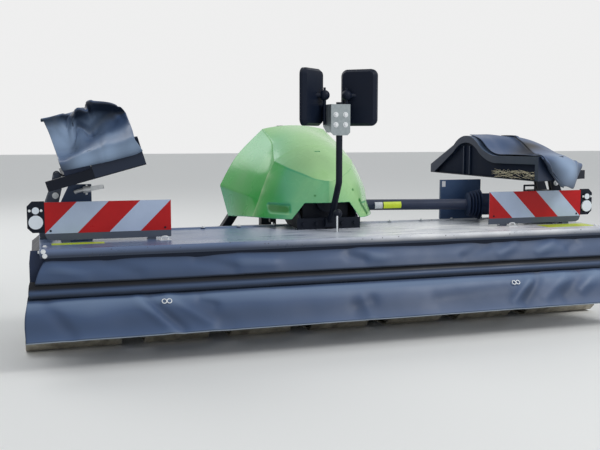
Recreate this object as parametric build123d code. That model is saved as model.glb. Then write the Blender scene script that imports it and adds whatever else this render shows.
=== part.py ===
"""Front disc mower, 3 m, seven discs, with folded side guards: one STEP file for each piece.

Millimetres. X is the machine's width, Y points back to the tractor, Z is up. The origin is on the
ground, under the centre of the machine's bounding box. The curtain hem is the foremost point and the
hitch plates are the rearmost.
"""
import math
import os

from build123d import *

os.makedirs("parts", exist_ok=True)

# Overall frame
HALF_DEPTH = 690.0
DECK_SIDE = 32.0
CURTAIN_SIDE = 57.0

# Deck, a folded sheet
DECK_TOP = 498.0
DECK_SHEET = 4.0
DECK_FRONT = -527.0
DECK_BACK = 75.0
DECK_LIP_DROP = 38.0
DECK_LIP_RETURN = 14.0
DECK_STEP_RISE = 7.0
DECK_STEP_DEPTH = 26.0
DECK_BACK_DROP = 34.0

# Cutterbar and its discs
DISC_COUNT = 7
DISC_PITCH = 410.0
DISC_Y = -180.0
BAR_BOTTOM = 30.0
BAR_TOP = 66.0
BAR_FRONT = 112.0
BAR_REAR = 128.0
BAR_OVERHANG = 150.0
BOSS_RADIUS = 56.0
BOSS_TOP = 88.0
SPINDLE_RADIUS = 20.0
SPINDLE_DEPTH = 24.0
DISC_PHASE = 45.0
RUNNING_GAP = 0.05
DISC_LENGTH_RADIUS = 192.0
DISC_WIDTH_RADIUS = 142.0
DISC_RIM_BOTTOM = 79.0
DISC_PLATE = 6.0
DISC_CROWN = 34.0
DISC_HUB_RADIUS = 78.0
KNIFE_TIP_RADIUS = 250.0
KNIFE_PIVOT_RADIUS = 165.0
KNIFE_WIDTH = 46.0
KNIFE_THICKNESS = 4.0
KNIFE_GAP = 1.0
KNIFE_BOLT_RADIUS = 13.0
DRUM_FOOT_RADIUS = 92.0
DRUM_WAIST_RADIUS = 66.0
DRUM_RIM_RADIUS = 112.0
DRUM_HEIGHT = 190.0
DRUM_PADDLES = 3

# Skid shoes under the bar
SHOE_SHEET = 7.0
SHOE_WIDTH = 300.0
SHOE_NOSE = 162.0
SHOE_NOSE_HEIGHT = 78.0
SHOE_HEEL = 140.0
SHOE_OVERHANG = 124.0

# Frame under the deck
BEAM_FRONT = -25.0
BEAM_REAR = 65.0
BEAM_HEIGHT = 100.0
BEAM_WALL = 6.0
FLOAT_X = 330.0
LUG_Y = 96.0
SPRING_LUG_X = 240.0
SPRING_LUG_Z = 530.0
SPRING_EYE_HALF = 11.0
SPRING_EYE_RADIUS = 15.0
FLOAT_EYE_HALF = 29.0
LUG_SHEET = 10.0
ARM_SHEET = 18.0
ARM_FRONT = 28.0

# Widths that follow from the bar: its outer discs, its end, the deck over it and the curtain
OUTER_DISC_X = (DISC_COUNT - 1) / 2 * DISC_PITCH
BAR_END = OUTER_DISC_X + BAR_OVERHANG
DECK_HALF_WIDTH = BAR_END + ARM_SHEET + DECK_SIDE
MACHINE_HALF_WIDTH = DECK_HALF_WIDTH + CURTAIN_SIDE

# End covers beside the deck
COVER_SHEET = 3.0
COVER_FRONT = -500.0
COVER_BACK = 70.0
COVER_BOTTOM = 288.0

# Front curtain: upper flap, stiffening rib and lower skirt
CURTAIN_CLOTH = 5.0
FLAP_TOP_Y = -525.0
FLAP_BOTTOM_Y = -580.0
RIB_TOP = 354.0
RIB_BOTTOM = 292.0
RIB_DEPTH = 16.0
RIB_FRONT = -578.0
SKIRT_BOTTOM = 134.0
SKIRT_TOP_Y = -574.0
SEAM_GAP = 0.3

# Warning boards and the lights at their outer ends
BOARD_Y = -310.0
BOARD_SHEET = 3.0
BOARD_LENGTH = 564.0
BOARD_HEIGHT = 141.0
BOARD_INSET = 26.0
BOARD_INNER = DECK_HALF_WIDTH - BOARD_INSET - BOARD_LENGTH
BOARD_BOTTOM = 540.0
BOARD_BAR = 31.0
BOARD_FOOT = 32.0
BOARD_CORNER = 26.0
HANDLE_LEFT = 214.0
HANDLE_RIGHT = 280.0
HANDLE_RISE = 30.0
HANDLE_RADIUS = 5.0
LIGHT_PLATE_WIDTH = 75.0
LIGHT_PLATE_TOP = 686.0
LIGHT_PLATE_BOTTOM = 545.0
LAMP_RADIUS = 16.0
LAMP_Z = 645.0
REFLECTOR_RADIUS = 31.0
REFLECTOR_Z = 593.0
LIGHT_X = BOARD_INNER + BOARD_LENGTH + 38.0

# Hood over the gearbox, nose to back. Columns: y, then (half width, height) of the foot, the widest point,
# the middle of the flank and the edge of the raised panel, that edge's step, and the height of the crown
HOOD_X = -12.0
HOOD_SHEET = 6.0
HOOD_NOSE = (
    (-192.0, (170.0, 580.0), (130.0, 630.0), (84.0, 688.0), (16.0, 744.0), 4.0, 757.0),
    (-120.0, (222.0, 552.0), (190.0, 640.0), (156.0, 706.0), (106.0, 770.0), 5.0, 806.0),
    (-30.0, (283.0, 551.0), (250.0, 640.0), (223.0, 730.0), (180.0, 806.0), 6.0, 871.0),
    (70.0, (333.0, 549.0), (293.0, 640.0), (257.0, 745.0), (220.0, 836.0), 6.0, 928.0),
)
HOOD_BACK = (
    HOOD_NOSE[-1],
    (160.0, (352.0, 543.0), (338.0, 655.0), (287.0, 775.0), (203.0, 883.0), 4.0, 967.0),
    (280.0, (372.0, 534.0), (382.0, 675.0), (306.0, 822.0), (176.0, 943.0), 2.0, 1003.0),
    (440.0, (388.0, 522.0), (434.0, 697.0), (338.0, 860.0), (185.0, 1013.0), 2.0, 1031.0),
)
NOSE_Y = -182.0
NOSE_SLOPE = 0.15
ARCH_HALF_TOP = 118.0
ARCH_HALF_FOOT = 192.0
ARCH_TOP = 635.0
ARCH_CORNER = 12.0
ARCH_DEPTH = 90.0
POCKET_INNER = 202.0
POCKET_OUTER = 290.0
POCKET_BOTTOM = 574.0
POCKET_TOP = 630.0
POCKET_DEPTH = 3.5
SLOT_Y = 8.0
SLOT_LENGTH = 32.0
SLOT_WIDTH = 8.0
DRIVE_NOTCH_REACH = 110.0
DRIVE_NOTCH_BACK = 50.0
DRIVE_NOTCH_GAP = 14.0
HOOD_REST_YS = (-26.0, 152.0)
HOOD_REST_WIDTH = 30.0
HOOD_REST_TOP = 664.0

# Centre gearbox with its stub shaft, and the plates that carry it
GEARBOX_FRONT = -90.0
GEARBOX_REAR = 240.0
GEARBOX_HALF_WIDTH = 125.0
GEARBOX_BOTTOM = 530.0
GEARBOX_TOP = 730.0
SUPPORT_X = 150.0
SUPPORT_SHEET = 10.0
SUPPORT_FRONT = -150.0
SUPPORT_PLATE_HALF = 172.0
SUPPORT_PLATE_TOP = 555.0
STUB_Z = 640.0
STUB_RADIUS = 17.4
STUB_LENGTH = 80.0
STUB_SEAT = 30.0
JOURNAL_RADIUS = 22.5
JOURNAL_PROUD = 4.0

# Cross drive: guard tube, bellows and bevel gearbox over the last disc
DRIVE_Z = 596.0
DRIVE_START_Y = 110.0
DRIVE_END_Y = -110.0
TUBE_RADIUS = 30.0
BELLOWS_LEFT = 850.0
BELLOWS_RINGS = 5
BELLOWS_PITCH = 16.0
BELLOWS_RADIUS = 84.0
BELLOWS_VALLEY = 60.0
BELLOWS_SLEEVE = 60.0
SIDE_NECK_RADIUS = 50.0
SIDE_BOX_RADIUS = 78.0
SIDE_BOX_TOP = 676.0
DROP_RADIUS = 45.0
DROP_BOTTOM = 330.0

# Upright plate behind the cross drive
PANEL_LEFT = 747.0
PANEL_RIGHT = 1000.0
PANEL_TOP = 727.0
PANEL_RIM = 16.0
PANEL_Y = 64.0

# Mirrors on their post
POST_RADIUS = 16.0
POST_Y = -295.0
POST_BEND = 38.0
POST_BEND_Z = 745.0
POST_FOOT_Y = -205.0
POST_FOOT_Z = 592.0
POST_START_Z = 544.0
POST_TOP = 1140.0
POST_PAD_HALF = 26.0
POST_PAD_HEIGHT = 42.0
TIE_Y = -277.0
TIE_Z = 588.0
TIE_RADIUS = 5.0
TIE_KNOB = 23.0
BRACKET_BOTTOM = 978.0
BRACKET_TOP = 1130.0
BRACKET_HALF = 50.0
BRACKET_REAR = -196.0
BRACKET_SHEET = 4.0
BRACKET_CORNER = 14.0
MIRROR_WIDTH = 190.0
MIRROR_HEIGHT = 282.0
MIRROR_DEPTH = 34.0
MIRROR_CORNER = 34.0
MIRROR_X = 135.0
MIRROR_Y = -228.0
MIRROR_Z = 1166.0
MIRROR_TURN = 42.0
STEM_Y = -240.0
STEM_RADIUS = 8.0
STEM_BOTTOM = 1030.0
BALL_RADIUS = 26.0
BALL_Z = 1176.0

# Folding side guards, drawn folded over the deck on the right
HINGE_X = DECK_HALF_WIDTH - 90.0
HINGE_Z = 790.0
HINGE_PIN = 8.0
HINGE_EYE = 18.0
EAR_GAP = 1.0
HINGE_YS = (-130.0, 10.0)
EAR_SHEET = 10.0
GUARD_REACH = 365.0
GUARD_LIP_X = HINGE_X - GUARD_REACH
GUARD_OUTER_X = HINGE_X - 25.0
GUARD_TIP_X = HINGE_X + 60.0
GUARD_TIP_BACK = -215.0
GUARD_FRONT_INNER = -545.0
GUARD_FRONT_OUTER = -345.0
GUARD_REAR = 650.0
GUARD_FLOOR = 745.0
GUARD_FLOOR_SHEET = 4.0
GUARD_RAIL = 46.0
GUARD_SHELL_SHEET = 8.0
GUARD_CREST_Y = 200.0
GUARD_CREST_Z = 976.0
GUARD_TROUGH_Y = -97.0
GUARD_TROUGH_Z = 866.0
GUARD_TAIL_Z = 796.0
GUARD_LIP_BAND = 40.0
GUARD_SHELL_WIDTH = 218.0
GUARD_TILT_LEFT = 17.0
BRACKET_FOOT = 88.0
BRACKET_FOOT_WIDTH = 52.0

# Curtains thrown over the folded guards, from the lip outwards. Columns: distance from the lip, two (y, z)
# points of the hanging front (y from the guard's front edge, z over the trough), then four points from there
# back over the moulding (z over the crest). The left one is drawn before it is tilted with its guard
CLOTH_RIGHT = (
    (15.0, (38.0, 8.0), (68.0, 12.0), (-300.0, -96.0), (-110.0, -98.0), (60.0, -36.0), (230.0, 5.0)),
    (110.0, (-15.0, -4.0), (23.0, 12.0), (-300.0, -92.0), (-120.0, -88.0), (40.0, -6.0), (220.0, 5.0)),
    (210.0, (-17.0, -66.0), (6.0, 6.0), (-300.0, -96.0), (-160.0, -68.0), (20.0, 5.0), (170.0, 5.0)),
    (280.0, (-18.0, -160.0), (-6.0, -16.0), (-320.0, -108.0), (-230.0, -92.0), (-150.0, -66.0), (-100.0, -48.0)),
    (350.0, (-18.0, -176.0), (-7.0, -20.0), (-350.0, -124.0), (-325.0, -118.0), (-285.0, -114.0), (-262.0, -114.0)),
    (413.0, (-15.0, -60.0), (-5.0, -28.0), (-345.0, -134.0), (-330.0, -130.0), (-300.0, -126.0), (-268.0, -126.0)),
)
CLOTH_LEFT = (
    (-51.0, (69.0, -8.0), (72.0, 10.0), (-400.0, -83.0), (-250.0, -56.0), (-220.0, -28.0), (60.0, -28.0)),
    (-13.0, (-11.0, -64.0), (-13.0, 22.0), (-420.0, -71.0), (-250.0, -36.0), (-222.0, 54.0), (90.0, 54.0)),
    (109.0, (-11.0, -69.0), (-13.0, 10.0), (-400.0, -76.0), (-250.0, -46.0), (-212.0, 106.0), (100.0, 92.0)),
    (193.0, (-11.0, -69.0), (-13.0, 10.0), (-380.0, -88.0), (-255.0, -76.0), (-210.0, 91.0), (100.0, 84.0)),
    (240.0, (-11.0, -69.0), (-13.0, 2.0), (-366.0, -97.0), (-256.0, -84.0), (-209.0, 88.0), (80.0, 80.0)),
    (270.0, (-11.0, -69.0), (-13.0, -12.0), (-355.0, -105.0), (-257.0, -92.0), (-208.0, 85.0), (-184.0, 84.0)),
    (351.0, (-10.0, -69.0), (-12.0, -26.0), (-330.0, -114.0), (-260.0, -96.0), (-212.0, 86.0), (-184.0, 87.0)),
)

# Plate with the guard's latch, on the left
LATCH_WIDTH = 144.0
LATCH_OUTER = HINGE_X - 6.0
LATCH_INNER = LATCH_OUTER - LATCH_WIDTH
LATCH_Y = -178.0
LATCH_SHEET = 6.0
LATCH_TOP = 752.0

# Headstock with the hitch points
HITCH_Y = 630.0
LOWER_PIN_Z = 400.0
MAST_HEIGHT = 610.0
LOWER_SPAN = 825.0
LOWER_PIN_RADIUS = 14.0
LOWER_PIN_LENGTH = 60.0
TOP_PIN_BORE = 12.75
CHEEK_SHEET = 14.0
CHEEK_GAP = 52.0
HEAD_TUBE = 80.0
HEAD_BAR_HALF = 235.0
HEAD_BAR_Z = 785.0

# Parking stand
STAND_X = -150.0
STAND_TUBE = 50.0
STAND_WALL = 4.0
STAND_CLEARANCE = 0.5
STAND_SLEEVE_WALL = 5.0
STAND_FOOT = 130.0
STAND_FOOT_SHEET = 8.0
STAND_TOP = 520.0


def save(shape, name):
    """Write one piece under its own name."""
    shape.label = name
    export_step(shape, "parts/" + name + ".step")


def along_x(outline, x_from, x_to):
    """Outline of (y, z) points, extruded from one X to another."""
    face = Plane.YZ.offset(x_from) * Polygon(*outline, align=None)
    return extrude(face, amount=x_to - x_from, dir=(1, 0, 0))


def along_y(outline, y_from, y_to):
    """Outline of (x, z) points, extruded from one Y to another."""
    face = Plane.XZ.offset(-y_from) * Polygon(*outline, align=None)
    return extrude(face, amount=y_to - y_from, dir=(0, 1, 0))


def along_z(outline, z_from, z_to):
    """Outline of (x, y) points, extruded from one height to another."""
    face = Plane.XY.offset(z_from) * Polygon(*outline, align=None)
    return extrude(face, amount=z_to - z_from, dir=(0, 0, 1))


def block(x_from, x_to, y_from, y_to, z_from, z_to):
    """Box between two corners."""
    size = (x_to - x_from, y_to - y_from, z_to - z_from)
    corner = (Align.MIN, Align.MIN, Align.MIN)
    return Pos(x_from, y_from, z_from) * Box(*size, align=corner)


def rod(start, end, radius):
    """Round bar from one point to another."""
    run = Vector(*end) - Vector(*start)
    place = Plane(origin=start, z_dir=run)
    return place * Cylinder(radius, run.length, align=(Align.CENTER, Align.CENTER, Align.MIN))


def folded(line, thickness):
    """Closed outline of a sheet whose outer face follows the line, thick to its right-hand side."""
    inner = []
    last = len(line) - 1
    for index, point in enumerate(line):
        normals = []
        for a, b in ((index - 1, index), (index, index + 1)):
            if a >= 0 and b <= last:
                dx = line[b][0] - line[a][0]
                dy = line[b][1] - line[a][1]
                size = math.hypot(dx, dy)
                normals.append((dy / size, -dx / size))
        nx = sum(n[0] for n in normals)
        ny = sum(n[1] for n in normals)
        scale = thickness * len(normals) / (nx * nx + ny * ny)
        inner.append((point[0] + nx * scale, point[1] + ny * scale))
    return list(line) + inner[::-1]


def mirrored(shape):
    """The same piece on the other side of the machine."""
    return mirror(shape, about=Plane.YZ)


def disc_x(index):
    """Disc centres, numbered from the left."""
    return (index - (DISC_COUNT - 1) / 2) * DISC_PITCH


DECK_UNDER = DECK_TOP - DECK_SHEET


def build_deck():
    line = [
        (DECK_FRONT + DECK_LIP_RETURN, DECK_TOP - DECK_LIP_DROP),
        (DECK_FRONT, DECK_TOP - DECK_LIP_DROP),
        (DECK_FRONT, DECK_TOP),
        (DECK_BACK - DECK_STEP_DEPTH, DECK_TOP),
        (DECK_BACK - DECK_STEP_DEPTH + DECK_STEP_RISE, DECK_TOP + DECK_STEP_RISE),
        (DECK_BACK, DECK_TOP + DECK_STEP_RISE),
        (DECK_BACK, DECK_TOP - DECK_BACK_DROP),
    ]
    deck = along_x(folded(line, DECK_SHEET), -DECK_HALF_WIDTH, DECK_HALF_WIDTH)
    drop_hole = Pos(OUTER_DISC_X, DISC_Y, DECK_TOP) * Cylinder(DROP_RADIUS + 3, 60)
    return deck - drop_hole


def build_cutterbar():
    """Flat housing with a rounded nose, a bearing boss at each disc and a bored spindle seat."""
    front = DISC_Y - BAR_FRONT
    rear = DISC_Y + BAR_REAR
    middle = (BAR_BOTTOM + BAR_TOP) / 2
    outline = [
        (front, middle - 6),
        (front + 34, BAR_BOTTOM),
        (rear - 14, BAR_BOTTOM),
        (rear, BAR_BOTTOM + 8),
        (rear, BAR_TOP - 8),
        (rear - 14, BAR_TOP),
        (front + 46, BAR_TOP),
        (front, middle + 6),
    ]
    bar = along_x(outline, -BAR_END, BAR_END)
    for index in range(DISC_COUNT):
        place = Pos(disc_x(index), DISC_Y, BAR_TOP)
        bar += place * Cylinder(BOSS_RADIUS, BOSS_TOP - BAR_TOP, align=(Align.CENTER, Align.CENTER, Align.MIN))
    for index in range(DISC_COUNT):
        place = Pos(disc_x(index), DISC_Y, BOSS_TOP - SPINDLE_DEPTH)
        bar -= place * Cylinder(SPINDLE_RADIUS + RUNNING_GAP, SPINDLE_DEPTH + 1,
                                align=(Align.CENTER, Align.CENTER, Align.MIN))
    return bar


def build_disc(index):
    """Domed oval disc with two knives; the outermost two carry a crop drum."""
    rim = DISC_RIM_BOTTOM
    top = rim + DISC_PLATE
    crown = top + DISC_CROWN
    recess = BOSS_TOP + 6
    profile = Polygon(
        (0, recess), (DISC_HUB_RADIUS - 10, recess), (DISC_HUB_RADIUS + 18, rim + 4),
        (DISC_LENGTH_RADIUS - 12, rim), (DISC_LENGTH_RADIUS + 4, rim),
        (DISC_LENGTH_RADIUS + 4, top), (DISC_LENGTH_RADIUS - 14, top),
        (DISC_HUB_RADIUS + 24, rim + 24), (DISC_HUB_RADIUS, crown - 6),
        (DISC_HUB_RADIUS - 12, crown), (0, crown), align=None)
    dome = revolve(Plane.XZ * profile, axis=Axis.Z)
    long_r, short_r = DISC_LENGTH_RADIUS, DISC_WIDTH_RADIUS
    arc_r = (long_r ** 2 + short_r ** 2) / (2 * short_r)
    shift = arc_r - short_r
    tall = 4 * (DISC_CROWN + DISC_PLATE + BOSS_TOP)
    lens = Pos(0, shift, rim) * Cylinder(arc_r, tall)
    lens &= Pos(0, -shift, rim) * Cylinder(arc_r, tall)
    disc = dome & lens
    knife_top = rim - KNIFE_GAP
    knife_bottom = knife_top - KNIFE_THICKNESS
    half = KNIFE_WIDTH / 2
    inner = KNIFE_PIVOT_RADIUS - half
    knife = along_z([
        (inner, -half * 0.6), (inner + 12, -half), (KNIFE_TIP_RADIUS - 14, -half),
        (KNIFE_TIP_RADIUS, -half * 0.5), (KNIFE_TIP_RADIUS, half * 0.5),
        (KNIFE_TIP_RADIUS - 14, half), (inner + 12, half), (inner, half * 0.6)],
        knife_bottom, knife_top)
    bolt = rod((KNIFE_PIVOT_RADIUS, 0, knife_bottom - 1), (KNIFE_PIVOT_RADIUS, 0, top + 9), KNIFE_BOLT_RADIUS)
    knife_set = knife + bolt
    knife_pair = knife_set + Rot(0, 0, 180) * knife_set
    disc += knife_pair
    spindle = rod((0, 0, BOSS_TOP - SPINDLE_DEPTH + 0.5), (0, 0, recess + 4), SPINDLE_RADIUS)
    disc += spindle
    if index in (0, DISC_COUNT - 1):
        foot = crown - 4
        drum = revolve(Plane.XZ * Polygon(
            (0, foot), (DRUM_FOOT_RADIUS, foot - 8), (DRUM_WAIST_RADIUS, foot + 0.45 * DRUM_HEIGHT),
            (DRUM_WAIST_RADIUS, foot + DRUM_HEIGHT - 20), (DRUM_RIM_RADIUS, foot + DRUM_HEIGHT - 6),
            (DRUM_RIM_RADIUS, foot + DRUM_HEIGHT), (0, foot + DRUM_HEIGHT), align=None), axis=Axis.Z)
        paddle = along_y([
            (DRUM_WAIST_RADIUS - 6, foot + 20), (DRUM_FOOT_RADIUS + 4, foot + 12),
            (DRUM_RIM_RADIUS - 8, foot + DRUM_HEIGHT - 8), (DRUM_WAIST_RADIUS - 6, foot + DRUM_HEIGHT - 8)],
            -4, 4)
        disc += drum
        for turn in range(DRUM_PADDLES):
            disc += Rot(0, 0, 30 + 360 / DRUM_PADDLES * turn) * paddle
    return Pos(disc_x(index), DISC_Y, 0) * Rot(0, 0, DISC_PHASE) * disc


def build_skid_shoes():
    """One bent sole under each disc, open to the front like a sledge runner."""
    front = DISC_Y - SHOE_NOSE
    rear = DISC_Y + SHOE_HEEL
    line = [
        (rear, BAR_BOTTOM - 12),
        (rear - 26, 0),
        (front + 84, 0),
        (front + 44, 10),
        (front + 14, 38),
        (front, SHOE_NOSE_HEIGHT - 14),
    ]
    outline = folded(line, SHOE_SHEET)
    shoes = None
    for index in range(DISC_COUNT):
        left = disc_x(index) - SHOE_WIDTH / 2
        right = disc_x(index) + SHOE_WIDTH / 2
        if index == 0:
            left = -BAR_END - SHOE_OVERHANG
        if index == DISC_COUNT - 1:
            right = BAR_END + SHOE_OVERHANG
        shoe = along_x(outline, left, right)
        for x in (disc_x(index) - SHOE_WIDTH / 3, disc_x(index) + SHOE_WIDTH / 3):
            shoe += block(x - 12, x + 12, DISC_Y - 70, DISC_Y + 90, SHOE_SHEET - 1, BAR_BOTTOM)
        shoes = shoe if shoes is None else shoes + shoe
    return shoes


def build_main_beam():
    top = DECK_UNDER
    bottom = top - BEAM_HEIGHT
    end = BAR_END + ARM_SHEET
    beam = block(-end, end, BEAM_FRONT, BEAM_REAR, bottom, top)
    beam -= block(-end - 1, end + 1, BEAM_FRONT + BEAM_WALL, BEAM_REAR - BEAM_WALL,
                  bottom + BEAM_WALL, top - BEAM_WALL)
    for side in (-1, 1):
        lugs = (
            (side * (SPRING_LUG_X - SPRING_EYE_HALF - LUG_SHEET / 2), SPRING_LUG_Z + 16),
            (side * (FLOAT_X - FLOAT_EYE_HALF - LUG_SHEET / 2), top - 24),
            (side * (FLOAT_X + FLOAT_EYE_HALF + LUG_SHEET / 2), top - 24),
        )
        for x, tall in lugs:
            beam += along_x([
                (BEAM_REAR - 1, bottom + 10), (LUG_Y + 18, bottom + 10), (LUG_Y + 18, tall),
                (DECK_BACK + 4, tall), (DECK_BACK + 4, top - 36), (BEAM_REAR - 1, top - 36)],
                x - LUG_SHEET / 2, x + LUG_SHEET / 2)
    return beam


def build_carrier_arm():
    """Plate from the end of the cutterbar up to the beam, stepped back behind the knives."""
    front = DISC_Y - BAR_FRONT + 46
    beam_bottom = DECK_UNDER - BEAM_HEIGHT
    outline = [
        (front, BAR_BOTTOM),
        (BEAM_REAR - 20, BAR_BOTTOM),
        (BEAM_REAR, BAR_BOTTOM + 30),
        (BEAM_REAR, beam_bottom),
        (ARM_FRONT, beam_bottom),
        (ARM_FRONT, BAR_TOP),
        (front, BAR_TOP),
    ]
    return along_x(outline, BAR_END, BAR_END + ARM_SHEET)


def build_end_cover():
    edge = DECK_HALF_WIDTH
    line = [(edge, DECK_UNDER), (edge + 34, DECK_UNDER - 28), (edge + 46, COVER_BOTTOM)]
    sheet = folded(line, COVER_SHEET)
    cover = along_y(sheet, COVER_FRONT, COVER_BACK)
    lip = block(edge - 30, edge + 1, COVER_FRONT + 30, COVER_BACK, DECK_UNDER - COVER_SHEET, DECK_UNDER)
    corner = along_x([(COVER_FRONT - 1, COVER_BOTTOM - 1), (COVER_FRONT + 20, COVER_BOTTOM - 1),
                      (COVER_FRONT - 1, COVER_BOTTOM + 120)], edge - 60, edge + 80)
    return cover + lip - corner


def build_curtain_upper():
    """Flared flap, held by its top edge under the lip of the deck and cut level above the rib."""
    top = DECK_TOP - DECK_LIP_DROP - SEAM_GAP
    line = [(FLAP_BOTTOM_Y, RIB_TOP - CURTAIN_CLOTH), (FLAP_TOP_Y, top), (DECK_FRONT + DECK_LIP_RETURN, top)]
    half = MACHINE_HALF_WIDTH - 22
    flap = along_x(folded(line, CURTAIN_CLOTH), -half, half)
    return flap - block(-half - 1, half + 1, FLAP_BOTTOM_Y - 20, FLAP_TOP_Y, RIB_TOP - 20, RIB_TOP + SEAM_GAP)


def build_curtain_rib():
    """Stiffening strip in the seam, with a plate at each end."""
    outline = [
        (RIB_FRONT, RIB_TOP), (RIB_FRONT - 6, RIB_TOP - 10), (RIB_FRONT - 6, RIB_BOTTOM + 8),
        (RIB_FRONT, RIB_BOTTOM), (RIB_FRONT + RIB_DEPTH, RIB_BOTTOM), (RIB_FRONT + RIB_DEPTH, RIB_TOP)]
    return along_x(outline, -MACHINE_HALF_WIDTH + 6, MACHINE_HALF_WIDTH - 6)


def build_curtain_lower():
    hem_front = -HALF_DEPTH
    line = [
        (hem_front, SKIRT_BOTTOM), (SKIRT_TOP_Y - 50, RIB_BOTTOM - 70),
        (SKIRT_TOP_Y, RIB_BOTTOM - SEAM_GAP)]
    return along_x(folded(line, CURTAIN_CLOTH), -MACHINE_HALF_WIDTH, MACHINE_HALF_WIDTH)


def build_board():
    """Right-hand board: plate, lower bar and two feet bolted to the deck."""
    outer = BOARD_INNER + BOARD_LENGTH
    back = BOARD_Y + BOARD_SHEET
    board = block(BOARD_INNER, outer, BOARD_Y, back, BOARD_BOTTOM, BOARD_BOTTOM + BOARD_HEIGHT)
    low = BOARD_BOTTOM - BOARD_BAR
    board += along_y([
        (BOARD_INNER, low), (outer - BOARD_CORNER, low), (outer - 0.3 * BOARD_CORNER, low + 0.3 * BOARD_CORNER),
        (outer, low + BOARD_CORNER), (outer, BOARD_BOTTOM), (BOARD_INNER, BOARD_BOTTOM)], BOARD_Y, back + 3)
    for x in (BOARD_INNER + 70, outer - 110):
        board += block(x, x + 40, back, back + 5, DECK_TOP, BOARD_BOTTOM + 60)
        board += block(x, x + 40, back, back + BOARD_FOOT, DECK_TOP, DECK_TOP + 5)
    return board


def build_board_handle():
    """Round bar bent to a grip over the right board's top edge."""
    low = BOARD_BOTTOM + BOARD_HEIGHT - HANDLE_RISE
    top = BOARD_BOTTOM + BOARD_HEIGHT + HANDLE_RISE
    y = BOARD_Y + BOARD_SHEET + HANDLE_RADIUS + SEAM_GAP
    left, right = BOARD_INNER + HANDLE_LEFT, BOARD_INNER + HANDLE_RIGHT
    handle = rod((left, y, low), (left, y, top), HANDLE_RADIUS)
    handle += rod((right, y, low), (right, y, top), HANDLE_RADIUS)
    handle += rod((left, y, top), (right, y, top), HANDLE_RADIUS)
    for x in (left, right):
        handle += Pos(x, y, top) * Sphere(HANDLE_RADIUS)
    return handle


def build_light_plate():
    """Black plate beside the right board with the seats of lamp and reflector."""
    left = BOARD_INNER + BOARD_LENGTH
    right = left + LIGHT_PLATE_WIDTH
    cut = 22
    outline = [
        (left, LIGHT_PLATE_BOTTOM), (right - cut, LIGHT_PLATE_BOTTOM), (right, LIGHT_PLATE_BOTTOM + cut),
        (right, LIGHT_PLATE_TOP - cut), (right - cut, LIGHT_PLATE_TOP), (left, LIGHT_PLATE_TOP)]
    plate = along_y(outline, BOARD_Y + 2, BOARD_Y + 10)
    housing = rod((LIGHT_X, BOARD_Y + 10, LAMP_Z), (LIGHT_X, BOARD_Y + 44, LAMP_Z), LAMP_RADIUS + 12)
    tab = block(left - 60, left + 20, BOARD_Y + BOARD_SHEET, BOARD_Y + BOARD_SHEET + 5,
                BOARD_BOTTOM + 20, BOARD_BOTTOM + 50)
    ring = rod((LIGHT_X, BOARD_Y - 4, LAMP_Z), (LIGHT_X, BOARD_Y + 3, LAMP_Z), LAMP_RADIUS + 4)
    ring -= rod((LIGHT_X, BOARD_Y - 5, LAMP_Z), (LIGHT_X, BOARD_Y - 1, LAMP_Z), LAMP_RADIUS)
    return plate + housing + tab + ring


def build_lamp_lenses():
    lens = rod((LIGHT_X, BOARD_Y - 6, LAMP_Z), (LIGHT_X, BOARD_Y - 1, LAMP_Z), LAMP_RADIUS - 0.3)
    return lens + mirrored(lens)


def build_reflectors():
    disc = rod((LIGHT_X, BOARD_Y - 7, REFLECTOR_Z), (LIGHT_X, BOARD_Y + 2, REFLECTOR_Z), REFLECTOR_RADIUS)
    return disc + mirrored(disc)


def hood_section(section, inset, lowered):
    """Closed section: foot, straight skirt, curved flank, the panel's small step and the arched crown."""
    y, foot, widest, flank, edge, step, crown = section
    corners = [
        Vector(foot[0] - inset, y, foot[1] - lowered),
        Vector(widest[0] - inset, y, widest[1]),
        Vector(flank[0] - inset, y, flank[1] - 0.4 * inset),
        Vector(edge[0] - 0.7 * inset, y, edge[1] - 0.7 * inset),
        Vector(edge[0] - 0.7 * inset, y, edge[1] + step - 0.7 * inset),
    ]
    other = [Vector(-p.X, p.Y, p.Z) for p in corners]
    edges = [
        Line(corners[0], corners[1]),
        ThreePointArc(corners[1], corners[2], corners[3]),
        Line(corners[3], corners[4]),
        ThreePointArc(corners[4], Vector(0, y, crown - inset), other[4]),
        Line(other[4], other[3]),
        ThreePointArc(other[3], other[2], other[1]),
        Line(other[1], other[0]),
        Line(other[0], corners[0]),
    ]
    return Face(Wire(edges))


def hood_form(inset, lowered=0):
    """The hood's outer form, or its hollow as far in from it as the inset: nose and back meet at the shoulder."""
    last = HOOD_BACK[-1]
    open_end = (last[0] + (1 if inset else 0), *last[1:])
    nose = loft([hood_section(s, inset, lowered) for s in HOOD_NOSE])
    back = loft([hood_section(s, inset, lowered) for s in (*HOOD_BACK[:-1], open_end)])
    reach = last[1][0] + 100
    far = last[0] + 100
    bow = NOSE_Y + inset
    front = along_z([(-reach, bow + NOSE_SLOPE * reach), (0, bow), (reach, bow + NOSE_SLOPE * reach),
                     (reach, far), (-reach, far)], GEARBOX_BOTTOM - 100, last[-1] + 100)
    return Pos(HOOD_X, 0, 0) * ((nose + back) & front)


def hood_hollow(inset):
    """The space inside the hood, open below and behind."""
    return hood_form(inset, lowered=60)


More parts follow.
